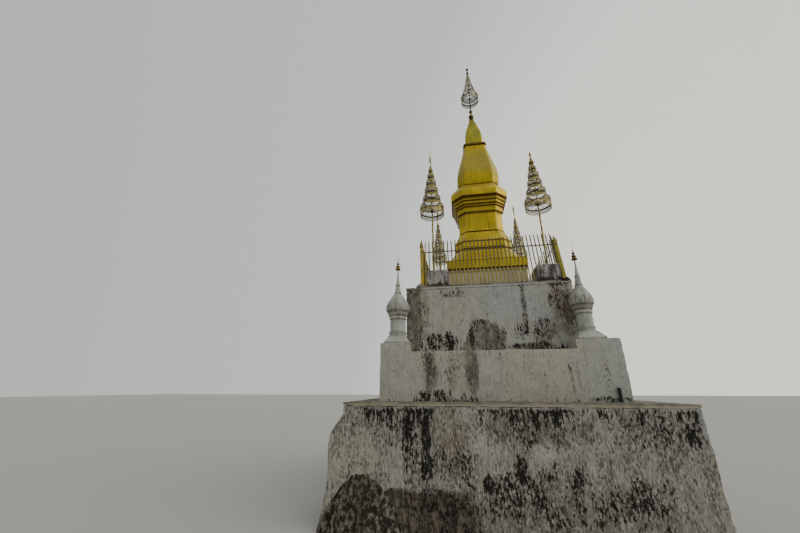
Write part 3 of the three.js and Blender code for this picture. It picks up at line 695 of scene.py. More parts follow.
third_low, third_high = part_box("third_tier")
cap_low, cap_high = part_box("third_tier_cap")
third_wall = block("third_wall", third_low, third_high)
pick("FACE", lambda middle, normal: normal.z > 0.9)
rung(cap_low.z + 0.004, cap_low.x, cap_high.x, cap_low.y, cap_high.y)
rung(cap_high.z, cap_low.x, cap_high.x, cap_low.y, cap_high.y)
divided(0.085)
weathered(third_wall, [(0.9, 0.03), (0.2, 0.01)], (0.13, 0.045, 0.62),
          lambda co: near_edges(cap_low, cap_high, 0.04)(co)
          or near_edges(third_low, Vector((third_high.x, third_high.y, 9)), 0.06, (0, 1))(co))
third_plaster = plaster(
    "third_plaster", (-3.3, 2.7), third_low.z, cap_high.z, cap_low.y,
    hanging=[(-3.1, 0.4), (-2.6, 0.42), (-2.45, 0.35), (-2.2, 0.5), (-1.7, 0.48), (-1.5, 0.25), (-1.3, 0.5),
             (-1.05, 0.15), (0.6, 0.15), (0.8, 0.6), (1.0, 0.55), (1.1, 0.2), (1.6, 0.4), (1.75, 0.62), (2.5, 0.62)],
    rising=[(-3.1, 0.35), (-2.6, 0.45), (-2.5, 0.68), (-1.3, 0.68), (-1.15, 0.4), (0.1, 0.35), (0.25, 0.25),
            (0.6, 0.35), (0.9, 0.85), (2.3, 0.85)],
    patches=[(-2.95, 5.7, 0.3, 1.6, 0.28, 0.5), (0.86, 6.0, 0.09, 0.85, 0.32, 0.85),
             (0.86, 5.15, 0.06, 0.2, 0.62, 0.6), (2.12, 6.05, 0.36, 0.85, 0.44, 0.66),
             (2.3, 5.3, 0.28, 0.5, 0.42, 0.6), (0.64, 5.12, 0.26, 0.26, 0.46, 0.5),
             (1.4, 5.15, 0.46, 0.42, 0.46, 0.62), (1.05, 4.7, 0.75, 0.12, 0.66, 0.5),
             (-1.9, 4.85, 0.66, 0.32, 0.72, 0.6), (-0.92, 5.05, 0.09, 0.42, 0.6, 0.7),
             (-0.6, 5.5, 0.3, 0.1, 0.56, 0.6), (-0.1, 5.25, 0.08, 0.35, 0.56, 0.6),
             (0.14, 5.14, 0.08, 0.16, 0.75, 0.5), (0.24, 4.68, 0.06, 0.06, 0.8, 0.4),
             (-2.5, 5.6, 0.14, 1.1, 0.2, 0.5), (1.75, 6.3, 0.1, 0.4, 0.5, 0.6), (-1.45, 6.55, 0.5, 0.16, 0.5, 0.5)],
    bare=[(-0.53, 4.5, 0.62, 1.08, 0.9, False), (-3.05, 5.7, 0.42, 2.2, 0.8, True), (2.28, 5.9, 0.16, 0.4, 0.7, False)],
    earth=((0.034, 0.029, 0.02), (0.24, 0.218, 0.165)),
    tints=[(1.95, 6.0, 0.34, 0.8, 0.8, (0.27, 0.205, 0.15)), (2.15, 5.8, 0.16, 0.35, 0.8, (0.2, 0.105, 0.075)),
           (1.05, 4.68, 0.6, 0.12, 0.9, (0.035, 0.045, 0.018)), (-2.55, 5.9, 0.22, 0.9, 0.6, (0.2, 0.165, 0.12)),
           (0.86, 6.0, 0.1, 0.8, 0.65, (0.175, 0.15, 0.115)), (1.4, 5.15, 0.46, 0.42, 0.5, (0.21, 0.175, 0.145)),
           (-1.2, 5.9, 0.7, 0.5, 0.6, (0.42, 0.4, 0.325)), (0.2, 6.15, 0.7, 0.55, 0.7, (0.365, 0.38, 0.375)),
           (1.3, 6.0, 0.5, 0.7, 0.6, (0.38, 0.4, 0.39)), (-1.7, 6.3, 0.9, 0.4, 0.4, (0.36, 0.35, 0.29))],
    pale=(0.4, 0.386, 0.332), cool=(0.378, 0.381, 0.354), film=0.12, elsewhere=0.5, drip=0.46, lift=0.5)
fitted(third_wall, third_plaster, "plaster", "third_tier", "third_tier_cap", angle=50)


# The four small stupas on the corner blocks: a stepped square foot, an eight-sided neck and a bell drawn up to
# a spire, in plastered brick. Lotus petals stand out in low relief on the belly; painted shade, mixed with grime,
# darkens their edges and each hollow.
# The right ones are slimmer than the left ones and lean a little.
def cut_square(name, x, y, rows):
    """A mass with cut corners raised from rows of face distance, half face width and height, in edit mode"""
    flat, half, low = rows[0]
    piece = begin(name, bpy.ops.mesh.primitive_plane_add, size=2 * flat, location=(x, y, low))
    bpy.ops.mesh.bevel(offset=(flat - half), affect="VERTICES")
    bpy.ops.mesh.select_all(action="SELECT")
    for wide, long, height in rows[1:]:
        extruded(0, 0, height - low)
        along, out = long / half, wide / flat
        for across in (True, False):
            pick("VERT", lambda co: abs(co.z - height) < 1e-5 and (abs(co.x - x) > abs(co.y - y)) == across)
            drawn(*((out, along) if across else (along, out)), x, y)
        pick("FACE", lambda middle, normal: abs(middle.z - height) < 1e-5)
        flat, half, low = wide, long, height
    closed()
    return piece


def turned(name, x, y, foot, rows, sides):
    """A round mass raised from rows of radius and height, in edit mode"""
    radius, low = rows[0]
    piece = begin(name, bpy.ops.mesh.primitive_circle_add, vertices=sides, radius=radius, fill_type="NGON",
                  location=(x, y, foot + low))
    for wide, height in rows[1:]:
        extruded(0, 0, height - low)
        drawn(wide / radius, wide / radius, x, y)
        radius, low = wide, height
    closed()
    return piece


def eased(rows, steps):
    """More rows on a smooth line through the given ones"""
    line = [rows[0], *rows, rows[-1]]
    smooth = []
    for a, b, c, d in zip(line, line[1:], line[2:], line[3:]):
        for step in range(steps):
            t = step / steps
            smooth.append(tuple(0.5 * (2 * q + (r - p) * t + (2 * p - 5 * q + 4 * r - s) * t * t
                                       + (3 * q - p - 3 * r + s) * t ** 3) for p, q, r, s in zip(a, b, c, d)))
    return [*smooth, rows[-1]]


def softened(piece, width):
    """Takes the sharpness off the edges of the piece"""
    modified(piece, "BEVEL", width=width, segments=1, limit_method="ANGLE", angle_limit=radians(30))


BELL_NECK = [(0.394, 0.38, 0.0), (0.394, 0.38, 0.056), (0.382, 0.366, 0.064), (0.374, 0.356, 0.078),
             (0.34, 0.296, 0.125), (0.308, 0.228, 0.18), (0.288, 0.188, 0.226), (0.288, 0.188, 0.258),
             (0.274, 0.13, 0.264), (0.262, 0.11, 0.276), (0.262, 0.11, 0.33), (0.274, 0.114, 0.338),
             (0.284, 0.118, 0.348), (0.284, 0.118, 0.382), (0.266, 0.11, 0.392), (0.248, 0.103, 0.402),
             (0.243, 0.101, 0.52), (0.243, 0.101, 0.69), (0.248, 0.103, 0.796), (0.262, 0.108, 0.804),
             (0.278, 0.115, 0.822), (0.278, 0.115, 0.852), (0.268, 0.111, 0.862), (0.268, 0.111, 0.892)]
BELL = [(0.262, 0.872), (0.3, 0.925), (0.33, 0.985), (0.362, 1.08), (0.382, 1.16), (0.382, 1.225), (0.364, 1.3),
        (0.333, 1.375), (0.294, 1.44), (0.25, 1.5), (0.205, 1.568), (0.163, 1.64), (0.124, 1.715), (0.102, 1.78),
        (0.088, 1.88), (0.072, 2.03), (0.05, 2.15), (0.034, 2.29), (0.024, 2.44), (0.018, 2.588)]
PETALS = [(1.1, 1.64, 0.48, 0.0), (1.1, 1.34, 0.47, 0.5)]
BELL_RINGS = [(0.94, 0.012), (1.045, 0.011), (1.078, 0.008), (1.735, 0.014), (1.845, 0.008), (2.025, 0.016)]
BELL_SIDES = {"left": (1.0, 0.0), "right": (0.87, -0.03)}


def small_stupa(side):
    """The front small stupa of a side. A slim one is narrowed at neck and belly and stands aside from its tip."""
    slim, aside = BELL_SIDES[side]
    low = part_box(f"small_stupa_front_{side}")[0]
    x, y = centre(f"small_stupa_front_{side}")
    x += aside
    neck_rows = []
    for flat, half, z in BELL_NECK:
        share = slim if z > 0.24 else 1
        neck_rows.append((flat * share, half * share, low.z + z))
    neck = cut_square("neck", x, y, neck_rows)
    softened(neck, 0.004)
    rows = [(radius * (slim + (1 - slim) * min(max((z - 1.35) / 0.6, 0), 1)), z) for radius, z in BELL]
    bell = turned("bell", x, y, low.z, eased(rows, 4), 128)
    for start, end, share, turn in PETALS:
        def petal(middle, normal):
            height = (middle.z - low.z - start) / (end - start)
            slice_angle = (atan2(middle.y - y, middle.x - x) / (2 * pi) * 8 + turn) % 1 - 0.5
            return 0 < height < 1 and abs(slice_angle) < share * sqrt(1 - height ** 1.8)
        pick("FACE", petal)
        bpy.ops.mesh.extrude_region_shrink_fatten(TRANSFORM_OT_shrink_fatten={"value": 0.01})
    bpy.ops.object.mode_set(mode="OBJECT")
    rings = []
    for height, thick in BELL_RINGS:
        radius = between([(z, radius) for radius, z in rows], height)
        rings.append(added(bpy.ops.mesh.primitive_torus_add, major_segments=64, minor_segments=8,
                           major_radius=radius - 0.002, minor_radius=thick, location=(x, y, low.z + height)))
    whole = joined(f"bell_front_{side}", bell, neck, *rings)
    bpy.ops.object.mode_set(mode="EDIT")
    for step in range(5):
        pick("VERT", lambda co: co.z > low.z + 1.5 + 0.2 * step)
        bpy.ops.transform.translate(value=(-aside / 5, 0, 0))
    bpy.ops.object.mode_set(mode="OBJECT")
    return whole


bell_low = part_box("small_stupa_front_left")[0]
bell_x, bell_y = centre("small_stupa_front_left")
coat = Finish("bell_whitewash", 0.86, gloss=0.3)
grey = coat.grain((7, 7, 3.2), 6, 0.76)
patchy = coat.grain((2.4, 2.4, 2.0), 3, 0.6, 4.0)
up_bell = coat.z - bell_low.z
# Painted shade, mixed with grime, darkens each groove and hollow and the joins between parts of the bell.
shade_grime_in_hollows = coat.step(abs(up_bell - 0.8), 0.04, 0.005)
for height, reach in [(0.0, 0.03), (0.395, 0.04), (0.27, 0.04), (0.93, 0.04), (1.065, 0.04), (1.72, 0.08), (2.0, 0.05)]:
    shade_grime_in_hollows = shade_grime_in_hollows.most(coat.step(abs(up_bell - height), reach, reach * 0.15))
right_x = centre("small_stupa_front_right")[0] + BELL_SIDES["right"][1]
across = coat.maths("MINIMUM", abs(coat.x - bell_x), abs(coat.x - right_x))
turning = coat.maths("ARCTAN2", abs(abs(coat.y) + bell_y), across) * (8 / (2 * pi))
# Painted shade, broken up like grime, darkens the edges of the raised petals.
shade_grime_on_petal_edges = 0.0
for start, end, share, turn in PETALS:
    height = coat.node("ShaderNodeMapRange", {}, {0: up_bell, 1: start, 2: end})
    width = coat.maths("SQRT", 1.0 - coat.maths("POWER", height, 1.8)) * share
    off = abs(coat.maths("FRACT", turning + turn) - 0.5)
    rim = coat.step(abs(off - width), 0.085, 0.02) * coat.step(height, 0.0, 0.02) * coat.step(height, 1.0, 0.99)
    shade_grime_on_petal_edges = rim if shade_grime_on_petal_edges == 0.0 else rim.most(shade_grime_on_petal_edges)
under_belly = coat.step(up_bell, 0.88, 0.94) * coat.step(up_bell, 1.14, 1.06) * coat.step(patchy, 0.3, 0.5)
belly = coat.step(abs(up_bell - 1.25), 0.32, 0.05)
coat.from_two(patchy, 0.4, 0.62, (0.425, 0.425, 0.385), (0.345, 0.345, 0.315))
coat.lay(under_belly * 0.55, (0.235, 0.195, 0.155))
stained = coat.step(grey + belly * 0.05 + shade_grime_in_hollows * 0.13, 0.53, 0.72)
coat.lay(stained * 0.62, (0.135, 0.135, 0.118))
# Painted shade and grime: first along the petal edges, then in the hollows.
coat.lay(shade_grime_on_petal_edges * coat.step(grey, 0.34, 0.54) * 0.48, (0.12, 0.118, 0.105))
coat.lay(shade_grime_in_hollows * coat.step(grey, 0.36, 0.58) * 0.5, (0.085, 0.082, 0.072))
coat.relief(coat.grain((45, 45, 45), 4, 0.65) + grey * 0.4, 0.006)

for side in BELL_SIDES:
    front_one = small_stupa(side)
    back_one = again(front_one, f"bell_back_{side}")
    back_one.location.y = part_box(f"small_stupa_back_{side}")[0].y - bell_low.y
    chosen(back_one)
    bpy.ops.object.transform_apply(location=True, rotation=True, scale=True)
    fitted(back_one, coat, "whitewash", f"small_stupa_back_{side}", angle=32)
    fitted(front_one, coat, "whitewash", f"small_stupa_front_{side}", angle=32)


# The gilt finials on the small stupas, turned metal domes on a pin, slipped over the end of each spire.
# The gilding has gone brown in places and still shines on the domes' shoulders; under the domes it is painted dark as
# their shade.
def gilt(name, bright, dark, wear, roughness=0.42):
    """Dull gilding on metal, worn to brown, painted darkest on faces that look down as their shade"""
    coat = Finish(name, roughness, 0.75)
    tarnish = coat.grain((9, 9, 9), 5, 0.7)
    fine = coat.grain((60, 60, 60), 3, 0.6, 2.0)
    coat.from_two(tarnish + (fine - 0.5) * 0.3, wear - 0.1, wear + 0.12, bright, dark)
    # Painted shade: faces that look down are darkened.
    coat.lay(coat.step(coat.facing(2), -0.2, -0.8) * 0.7, dimmed(dark, 0.45))
    coat.roughen(roughness + (tarnish - 0.4) * 0.5)
    coat.relief(fine, 0.002)
    return coat


FINIAL = [(0.016, 0.0), (0.03, 0.006), (0.084, 0.01), (0.092, 0.02), (0.092, 0.04), (0.086, 0.066), (0.066, 0.084),
          (0.034, 0.096), (0.022, 0.104), (0.024, 0.112), (0.062, 0.116), (0.07, 0.124), (0.07, 0.142),
          (0.062, 0.166), (0.042, 0.184), (0.02, 0.196), (0.018, 0.212), (0.044, 0.218), (0.05, 0.228), (0.048, 0.25),
          (0.034, 0.272), (0.014, 0.288), (0.01, 0.31), (0.017, 0.326), (0.018, 0.342), (0.01, 0.362), (0.006, 0.4),
          (0.005, 0.48), (0.003, 0.568)]
finial_gilt = gilt("finial_gilt", (0.34, 0.205, 0.05), (0.07, 0.042, 0.018), 0.46)
CORNERS = [(end, side) for end in ("front", "back") for side in ("left", "right")]
for end, side in CORNERS:
    node = f"small_finial_{end}_{side}"
    finial = turned(f"finial_{end}_{side}", *centre(node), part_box(node)[0].z, FINIAL, 24)
    fitted(finial, finial_gilt, "gilt_bronze", node, angle=40)


# The kerb of rough cement that carries the fence, with a mortar mound round the foot of each corner post.
# It was laid on the cap by hand. The mounds spread wider at the left, and moss darkens the right end.
fence_low, fence_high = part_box("fence_front")
CAP_HALF = 0.064
rail_left, rail_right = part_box("fence_left")[0].x + CAP_HALF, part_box("fence_right")[0].x + CAP_HALF
rail_depth = -(fence_low.y + fence_high.y) / 2
kerb_top = fence_low.z
KERB_OUT, KERB_IN = 0.07, 0.045
kerb_parts = []
for left, right, front, back in [
        (rail_left - KERB_OUT, rail_right + KERB_OUT, -rail_depth - KERB_OUT, -rail_depth + KERB_IN),
        (rail_left - KERB_OUT, rail_right + KERB_OUT, rail_depth - KERB_IN, rail_depth + KERB_OUT),
        (rail_left - KERB_OUT, rail_left + KERB_IN, -rail_depth + KERB_IN, rail_depth - KERB_IN),
        (rail_right - KERB_IN, rail_right + KERB_OUT, -rail_depth + KERB_IN, rail_depth - KERB_IN)]:
    kerb_bar = block("kerb_bar", (left, front, cap_high.z - 0.02), (right, back, kerb_top))
    divided(0.06)
    worn(kerb_bar, "CLOUDS", 0.1, 0.02)
    kerb_parts.append(kerb_bar)
for side, end, out, rise in [(-1, -1, 0.218, 0.175), (1, -1, 0.175, 0.185), (1, 1, 0.175, 0.175),
                             (-1, 1, 0.218, 0.175)]:
    x = (rail_right if side > 0 else rail_left) + side * (out - 0.11) / 2
    mound = begin("mound", bpy.ops.mesh.primitive_uv_sphere_add, segments=28, ring_count=18, radius=1,
                  location=(x, end * (rail_depth - 0.018), cap_high.z - 0.02),
                  scale=((out + 0.11) / 2 * 1.12, 0.105, rise + 0.02))
    sawn((0, 0, cap_high.z - 0.01), (0, 0, 1), clear_inner=True, use_fill=True)
    worn(mound, "CLOUDS", 0.09, 0.045)
    kerb_parts.append(mound)
kerb_piece = joined("kerb_cement", *kerb_parts)
coat = Finish("kerb_cement", 0.95, gloss=0.2)
rot = coat.grain((9, 9, 6), 5, 0.75)
pale_dust = coat.grain((2.2, 2.2, 2.2), 3, 0.6, 6.0)
coat.from_two(pale_dust, 0.42, 0.6, (0.115, 0.108, 0.088), (0.27, 0.255, 0.215))
corner_moss = coat.step(coat.x, rail_right - 0.35, rail_right - 0.05)
coat.lay(coat.step(rot + corner_moss * 0.16, 0.5, 0.66), (0.028, 0.027, 0.02))
coat.relief(coat.grain((30, 30, 30), 5, 0.7) + rot * 0.5, 0.012)
fitted(kerb_piece, coat, "grey_stone", "kerb", angle=60)


# The four grey blocks that the corner parasols stand on, rendered brick gone grey, set on the cap and built
# out over the kerb, so that fence bars stand on them. Black runs down their sides and pale lime shows between.
BLOCK_OUT = 0.035
coat = Finish("block_cement", 0.95, gloss=0.2)
runs = coat.grain((11, 11, 1.5), 4, 0.7)
clots = coat.grain((6, 6, 4), 5, 0.7, 3.0)
foot_dark = coat.step(coat.z, cap_high.z + 0.3, cap_high.z + 0.02)
coat.from_two(clots, 0.44, 0.58, (0.4, 0.388, 0.355), (0.215, 0.21, 0.196))
coat.lay(coat.step(runs, 0.5, 0.58) * 0.8, (0.06, 0.058, 0.052))
fine = coat.grain((24, 24, 10), 4, 0.7, 8.0)
coat.lay(coat.step(fine, 0.52, 0.6) * 0.6, (0.045, 0.043, 0.038))
coat.lay(coat.step(foot_dark * 0.35 + clots, 0.58, 0.8) * 0.9, (0.024, 0.023, 0.018))
coat.relief(coat.grain((26, 26, 20), 5, 0.72) + clots * 0.4, 0.016)
for end, side in CORNERS:
    low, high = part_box(f"parasol_block_{end}_{side}")
    low.z -= 0.01
    if (end, side) == ("front", "right"):
        high.x -= 0.025
    plinth_block = block(f"grey_block_{end}_{side}", low, high)
    sawn((0, 0, kerb_top + 0.014), (0, 0, 1))
    out = -1 if end == "front" else 1
    pick("FACE", lambda middle, normal: normal.y * out > 0.9 and middle.z > kerb_top + 0.014)
    reach = rail_depth + BLOCK_OUT - abs((low if out < 0 else high).y)
    extruded(0, out * reach, 0)
    low.y, high.y = (low.y - reach, high.y) if out < 0 else (low.y, high.y + reach)
    divided(0.055)
    weathered(plinth_block, [(0.35, 0.014), (0.08, 0.012)], (0.11, 0.03, 0.62), near_edges(low, high, 0.045))
    fitted(plinth_block, coat, "grey_stone", f"parasol_block_{end}_{side}", angle=55)


# The fence: round iron bars with drawn points through one flat rail, and square posts with pointed caps.
# Yellow gloss paint, gone dark and olive towards the bars' points, rusting where bar meets rail. The right side
# has fewer bars, and its front post leans in, and the last bars of the front with it.
BAR_RISE, BAR_HALF, RAIL_RISE, RAIL_HALF, POST_RISE, POST_HALF, CAP_RISE = 1.8, 0.021, 1.329, 0.021, 1.53, 0.056, 0.195
POINT = [(0.06, 0.95), (0.05, 0.75), (0.05, 0.2)]
coat = Finish("fence_paint", 0.5)
chalk = coat.grain((5, 5, 3), 4, 0.7)
chip = coat.grain((45, 45, 18), 4, 0.75, 8.0)
chalky = coat.step(chalk, 0.44, 0.56)
beside = coat.maths("MINIMUM", abs(coat.x - rail_left), abs(coat.x - rail_right))
beside = beside.most(abs(abs(coat.y) - rail_depth))
green_post = coat.step(coat.x, 1.9, 2.1) * coat.step(coat.y, 0.0, -1.0)
post_paint = coat.mixed(chalky, (0.52, 0.355, 0.02), (0.33, 0.255, 0.036))
post_paint = coat.mixed(green_post * 0.8, post_paint, (0.29, 0.285, 0.018))
low_bar = coat.step(coat.z, kerb_top + 0.95, kerb_top + 0.45)
bar_paint = coat.mixed(chalky, (0.42, 0.33, 0.03), (0.29, 0.25, 0.036))
bar_paint = coat.mixed(low_bar, (0.115, 0.1, 0.024), bar_paint)
bar_paint = coat.mixed(coat.step(abs(coat.y), 2.8, 2.75) * 0.6, bar_paint, (0.12, 0.085, 0.025))
coat.from_two(beside, 0.2, 0.17, bar_paint, post_paint)
at_rail = coat.step(abs(coat.z - kerb_top - RAIL_RISE), 0.07, 0.02)
at_foot = coat.step(coat.z, kerb_top + 0.12, kerb_top)
at_cap = coat.step(coat.z, kerb_top + POST_RISE + 0.005, kerb_top + POST_RISE + 0.015)
coat.lay(at_cap * 0.75, (0.11, 0.09, 0.024))
coat.lay(at_rail * 0.55, (0.13, 0.085, 0.022))
rusty = coat.step(chip + at_rail * 0.06 + at_foot * 0.12, 0.56, 0.64)
coat.lay(rusty * 0.85, (0.085, 0.04, 0.016))
coat.roughen(0.42 + chalk * 0.25 + rusty * 0.3)
coat.relief(chip, 0.0015)


def bar_from(foot):
    """A round bar from a height over the kerb up to its drawn point"""
    shoulder = BAR_RISE - sum(rise for rise, width in POINT)
    bar = begin("bar", bpy.ops.mesh.primitive_cylinder_add, vertices=8, radius=BAR_HALF, depth=shoulder - foot,
                location=(0, 0, (shoulder + foot) / 2))
    pick("FACE", lambda middle, normal: normal.z > 0.9)
    for rise, width in POINT:
        extruded(0, 0, rise)
        drawn(width, width)
    bpy.ops.object.mode_set(mode="OBJECT")
    return bar


BAR_CLEAR, BLOCK_RISE = 0.035, 0.616
long_bar, short_bar = bar_from(0.0), bar_from(BLOCK_RISE)
over_blocks = [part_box(f"parasol_block_front_{side}") for side in ("left", "right")]
for name, length, x, y, quarter, pitch, post_rise, cap, lean in [
        ("front", rail_right - rail_left, (rail_left + rail_right) / 2, -rail_depth, 0, 0.14, POST_RISE, 0.3, 0.0),
        ("right", 2 * rail_depth, rail_right, 0, 1, 0.28, POST_RISE - 0.1, CAP_RISE, 0.085),
        ("back", rail_right - rail_left, (rail_left + rail_right) / 2, rail_depth, 2, 0.14, POST_RISE, CAP_RISE, 0.0),
        ("left", 2 * rail_depth, rail_left, 0, 3, 0.14, POST_RISE, CAP_RISE, 0.0)]:
    bays = round(length / pitch)
    bars = []
    for index in range(1, bays):
        place = -length / 2 + index * length / bays
        aside = 0.075 * min(max((place + 0.3) / 2.4, 0), 1) if name == "front" else 0.0
        at_block = x + place * (1 if name == "front" else -1) - 0.6 * aside
        starts_high = name in ("front", "back") and any(low.x - BAR_CLEAR < at_block < high.x + BAR_CLEAR
                                                        for low, high in over_blocks)
        bar = again(short_bar if starts_high else long_bar, "bar")
        bar.location = (place, 0, 0)
        bar.rotation_euler = (-lean * (0.5 - place / length), -aside, 0)
        bars.append(bar)
    rail = block("rail", (-length / 2, -0.006, RAIL_RISE - RAIL_HALF),
                 (length / 2 - (0.175 if name == "front" else 0.06), 0.006, RAIL_RISE + RAIL_HALF))
    pick("VERT", lambda co: co.x < 0)
    bpy.ops.transform.translate(value=(0, lean * RAIL_RISE, 0))
    bpy.ops.object.mode_set(mode="OBJECT")
    post = block("post", (-length / 2 - POST_HALF, -POST_HALF, 0.05), (-length / 2 + POST_HALF, POST_HALF, post_rise))
    pick("FACE", lambda middle, normal: normal.z > 0.9)
    for rise, width in [(0.002, 1.3), (0.024, 1.0), (0.004, 0.8), (0.012, 1.2), (cap, 0.08)]:
        extruded(0, 0, rise)
        drawn(width, width, -length / 2)
    softened(post, 0.004)
    post.rotation_euler.x = -lean
    panel = joined(f"iron_fence_{name}", rail, post, *bars)
    panel.rotation_euler.z = quarter * pi / 2
    panel.location = (x, y, kerb_top)
    bpy.ops.object.transform_apply(location=True, rotation=True, scale=True)
    fitted(panel, coat, "yellow_paint", f"fence_{name}", angle=40)
bpy.data.objects.remove(long_bar)
bpy.data.objects.remove(short_bar)


# The four corner parasols: a pole through shrinking tiers, each a drum of pierced sheet that closes in under
# the next, with a lace hung from the lowest rim, spokes inside it and a turned spike. Brass with dull gilding, painted
# darker on faces that look down as their shade.
# The back ones are smaller and sit lower on their poles.
def hoop(x, y, z, radius, height, thick):
    """A flat ring, higher than it is thick"""
    return added(bpy.ops.mesh.primitive_torus_add, (1, 1, height / thick), major_segments=48, minor_segments=6,
                 major_radius=radius - thick / 2, minor_radius=thick / 2, location=(x, y, z))


def pierced(x, y, rows, sides, sheet):
    """A turned sheet with an opening in each of its faces, from rows of radius and height, then the metal left
    round each opening below that row and the turn that leans the openings, in half steps."""
    radius, low = rows[0][:2]
    piece = begin("pierced", bpy.ops.mesh.primitive_circle_add, vertices=sides, radius=radius, location=(x, y, low))
    bpy.ops.mesh.select_mode(type="VERT")
    bpy.ops.mesh.select_all(action="SELECT")
    for wide, height, metal, lean in rows[1:]:
        extruded(0, 0, height - low)
        drawn(wide / radius, wide / radius, x, y)
        bpy.ops.transform.rotate(value=lean * pi / sides, orient_axis="Z", center_override=(x, y, 0))
        radius, low = wide, height
    low = rows[0][1]
    for wide, height, metal, lean in rows[1:]:
        pick("FACE", lambda middle, normal: low < middle.z < height)
        bpy.ops.mesh.inset(thickness=metal, use_individual=True)
        bpy.ops.mesh.delete(type="FACE")
        low = height
    modified(piece, "SOLIDIFY", thickness=sheet, offset=-1)
    return piece


def spokes(x, y, z, radius):
    """Four thin rods across a rim, and the knob that they meet in"""
    rods = [added(bpy.ops.mesh.primitive_cylinder_add, vertices=6, radius=0.008, depth=2 * radius,
                  location=(x, y, z), rotation=(pi / 2, 0, pi / 4 * index)) for index in range(4)]
    return [*rods, added(bpy.ops.mesh.primitive_uv_sphere_add, segments=16, ring_count=10, radius=0.055,
                         location=(x, y, z))]


def canopy_tier(x, y, z, radius, height, above, sides):
    """One tier: a dark rim, an open wall of thin stays and a close-worked shoulder in to the tier above"""
    spread = radius - above
    stay = radius * pi / sides * 0.13
    close = radius * pi / sides * 0.38
    foot = radius * 0.99
    rows = [(radius, z), (radius * 1.015, z + height * 0.2, stay, 0), (foot, z + height * 0.44, stay, 0),
            (foot - spread * 0.14, z + height * 0.56, close, 1), (foot - spread * 0.34, z + height * 0.68, close, 1),
            (foot - spread * 0.64, z + height * 0.8, close * 0.9, 1), (above, z + height * 0.985, close * 0.8, 1)]
    return [hoop(x, y, z, radius, 0.06, 0.018), hoop(x, y, z + height * 0.44, radius * 0.995, 0.022, 0.012),
            pierced(x, y, rows, sides, 0.007)]


def lace(x, y, z, radius, drop, sides):
    """A hanging of thin open work with a hoop along its foot"""
    rows = [(radius, z - drop), (radius, z - drop * 0.7, 0.008, 1), (radius, z - drop * 0.4, 0.009, -1),
            (radius, z - drop * 0.12, 0.01, 1), (radius, z, 0.01, 0)]
    return [pierced(x, y, rows, sides, 0.006), hoop(x, y, z - drop, radius + 0.003, 0.026, 0.014)]


CANOPY = [(0.48, 10.115, 0.435, 36), (0.358, 10.55, 0.4, 28), (0.272, 10.95, 0.39, 22), (0.207, 11.34, 0.34, 18),
          (0.142, 11.69, 0.28, 14), (0.092, 11.98, 0.235, 10)]
BACK_SHARE, BACK_DROP = 0.8, 0.3
parasol_gilt = gilt("parasol_gilt", (0.44, 0.345, 0.08), (0.13, 0.1, 0.038), 0.51)
rim_gilt = gilt("parasol_rims", (0.085, 0.072, 0.038), (0.03, 0.026, 0.018), 0.5)
for end, side in CORNERS:
    node = f"corner_parasol_{end}_{side}"
    low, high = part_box(node)
    x, y = centre(node)
    lift = 0.08 if side == "left" else -0.015
    share, top = 1.0, high.z
    if end == "back":
        lift, share, top = lift - BACK_DROP, BACK_SHARE, high.z - BACK_DROP
    knop = (12.4 + top) / 2
    pole = turned("pole", x, y, 0, [
        (0.034, low.z), (0.034, 9.6), (0.022, 9.8), (0.018, 11.9 + lift), (0.03, 12.19 + lift),
        (0.05, 12.215 + lift), (0.048, 12.245 + lift), (0.024, 12.31 + lift), (0.014, 12.36 + lift),
        (0.04, knop - 0.12), (0.048, knop - 0.05), (0.022, knop + 0.07), (0.006, top)], 16)
    bpy.ops.object.mode_set(mode="OBJECT")
    sheets, rims = [pole], []
    for (radius, z, height, sides), above in zip(CANOPY, [tier[0] for tier in CANOPY[1:]] + [0.045]):
        rim, belt, drum = canopy_tier(x, y, z + lift, radius * share, height, above * share * 0.82, sides)
        sheets += [belt, drum]
        rims.append(rim)
    foot = CANOPY[0][1] + lift
    sheets += lace(x, y, foot - 0.01, 0.474 * share, 0.195, 60)
    rims += spokes(x, y, foot, CANOPY[0][0] * share - 0.01)
    fitted(joined(f"parasol_{end}_{side}", *sheets), parasol_gilt, "gilt_bronze", node, angle=40)
    fitted(joined(f"parasol_rims_{end}_{side}", *rims), rim_gilt, "gilt_bronze", node, angle=40)


# The plinth of the tower, whitewashed brick with a string course and a groove under the gilding, painted dark as its
# shadow. The wash has gone cream and pink with grime from the gold paint above.
plinth_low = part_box("tower_plinth")[0]
tower_x = centre("tower_plinth")[0]
plinth = cut_square("white_plinth", tower_x, 0, [
    (1.52, 1.515, plinth_low.z), (1.52, 1.515, 7.765), (1.528, 1.523, 7.772), (1.55, 1.545, 7.79),
    (1.55, 1.545, 7.838), (1.54, 1.535, 7.846), (1.482, 1.477, 7.852), (1.48, 1.475, 7.935)])
coat = Finish("plinth_wash", 0.88, gloss=0.3)
wash = coat.grain((1.6, 1.6, 1.2), 4, 0.6)
soak = coat.grain((9, 9, 1.6), 4, 0.7, 3.0)
coat.from_two(wash, 0.4, 0.62, (0.54, 0.485, 0.33), (0.47, 0.43, 0.305))
gold_line = coat.step(abs(coat.z - 7.815), 0.04, 0.015)
coat.lay(coat.step(soak, 0.52, 0.7) * 0.55, (0.17, 0.15, 0.1))
coat.lay(gold_line * 0.6, (0.24, 0.19, 0.06))
# Painted shadow in the groove under the gilded band.
coat.lay(coat.step(coat.z, 7.885, 7.91), (0.1, 0.075, 0.03))
coat.relief(coat.grain((30, 30, 30), 4, 0.65), 0.008)
fitted(plinth, coat, "whitewash", "tower_plinth", angle=30)


# The gilded tower, rendered brick in stacked courses from the base band up to the crown.
# Each wide face is framed by cut corners; the render is smooth under thick gold paint and streaked by rain.
# Painted shade, partly grime, browns it under each ledge and on every face that looks down.
PANEL_ASIDE, PANEL_HALF = -0.115, 0.405


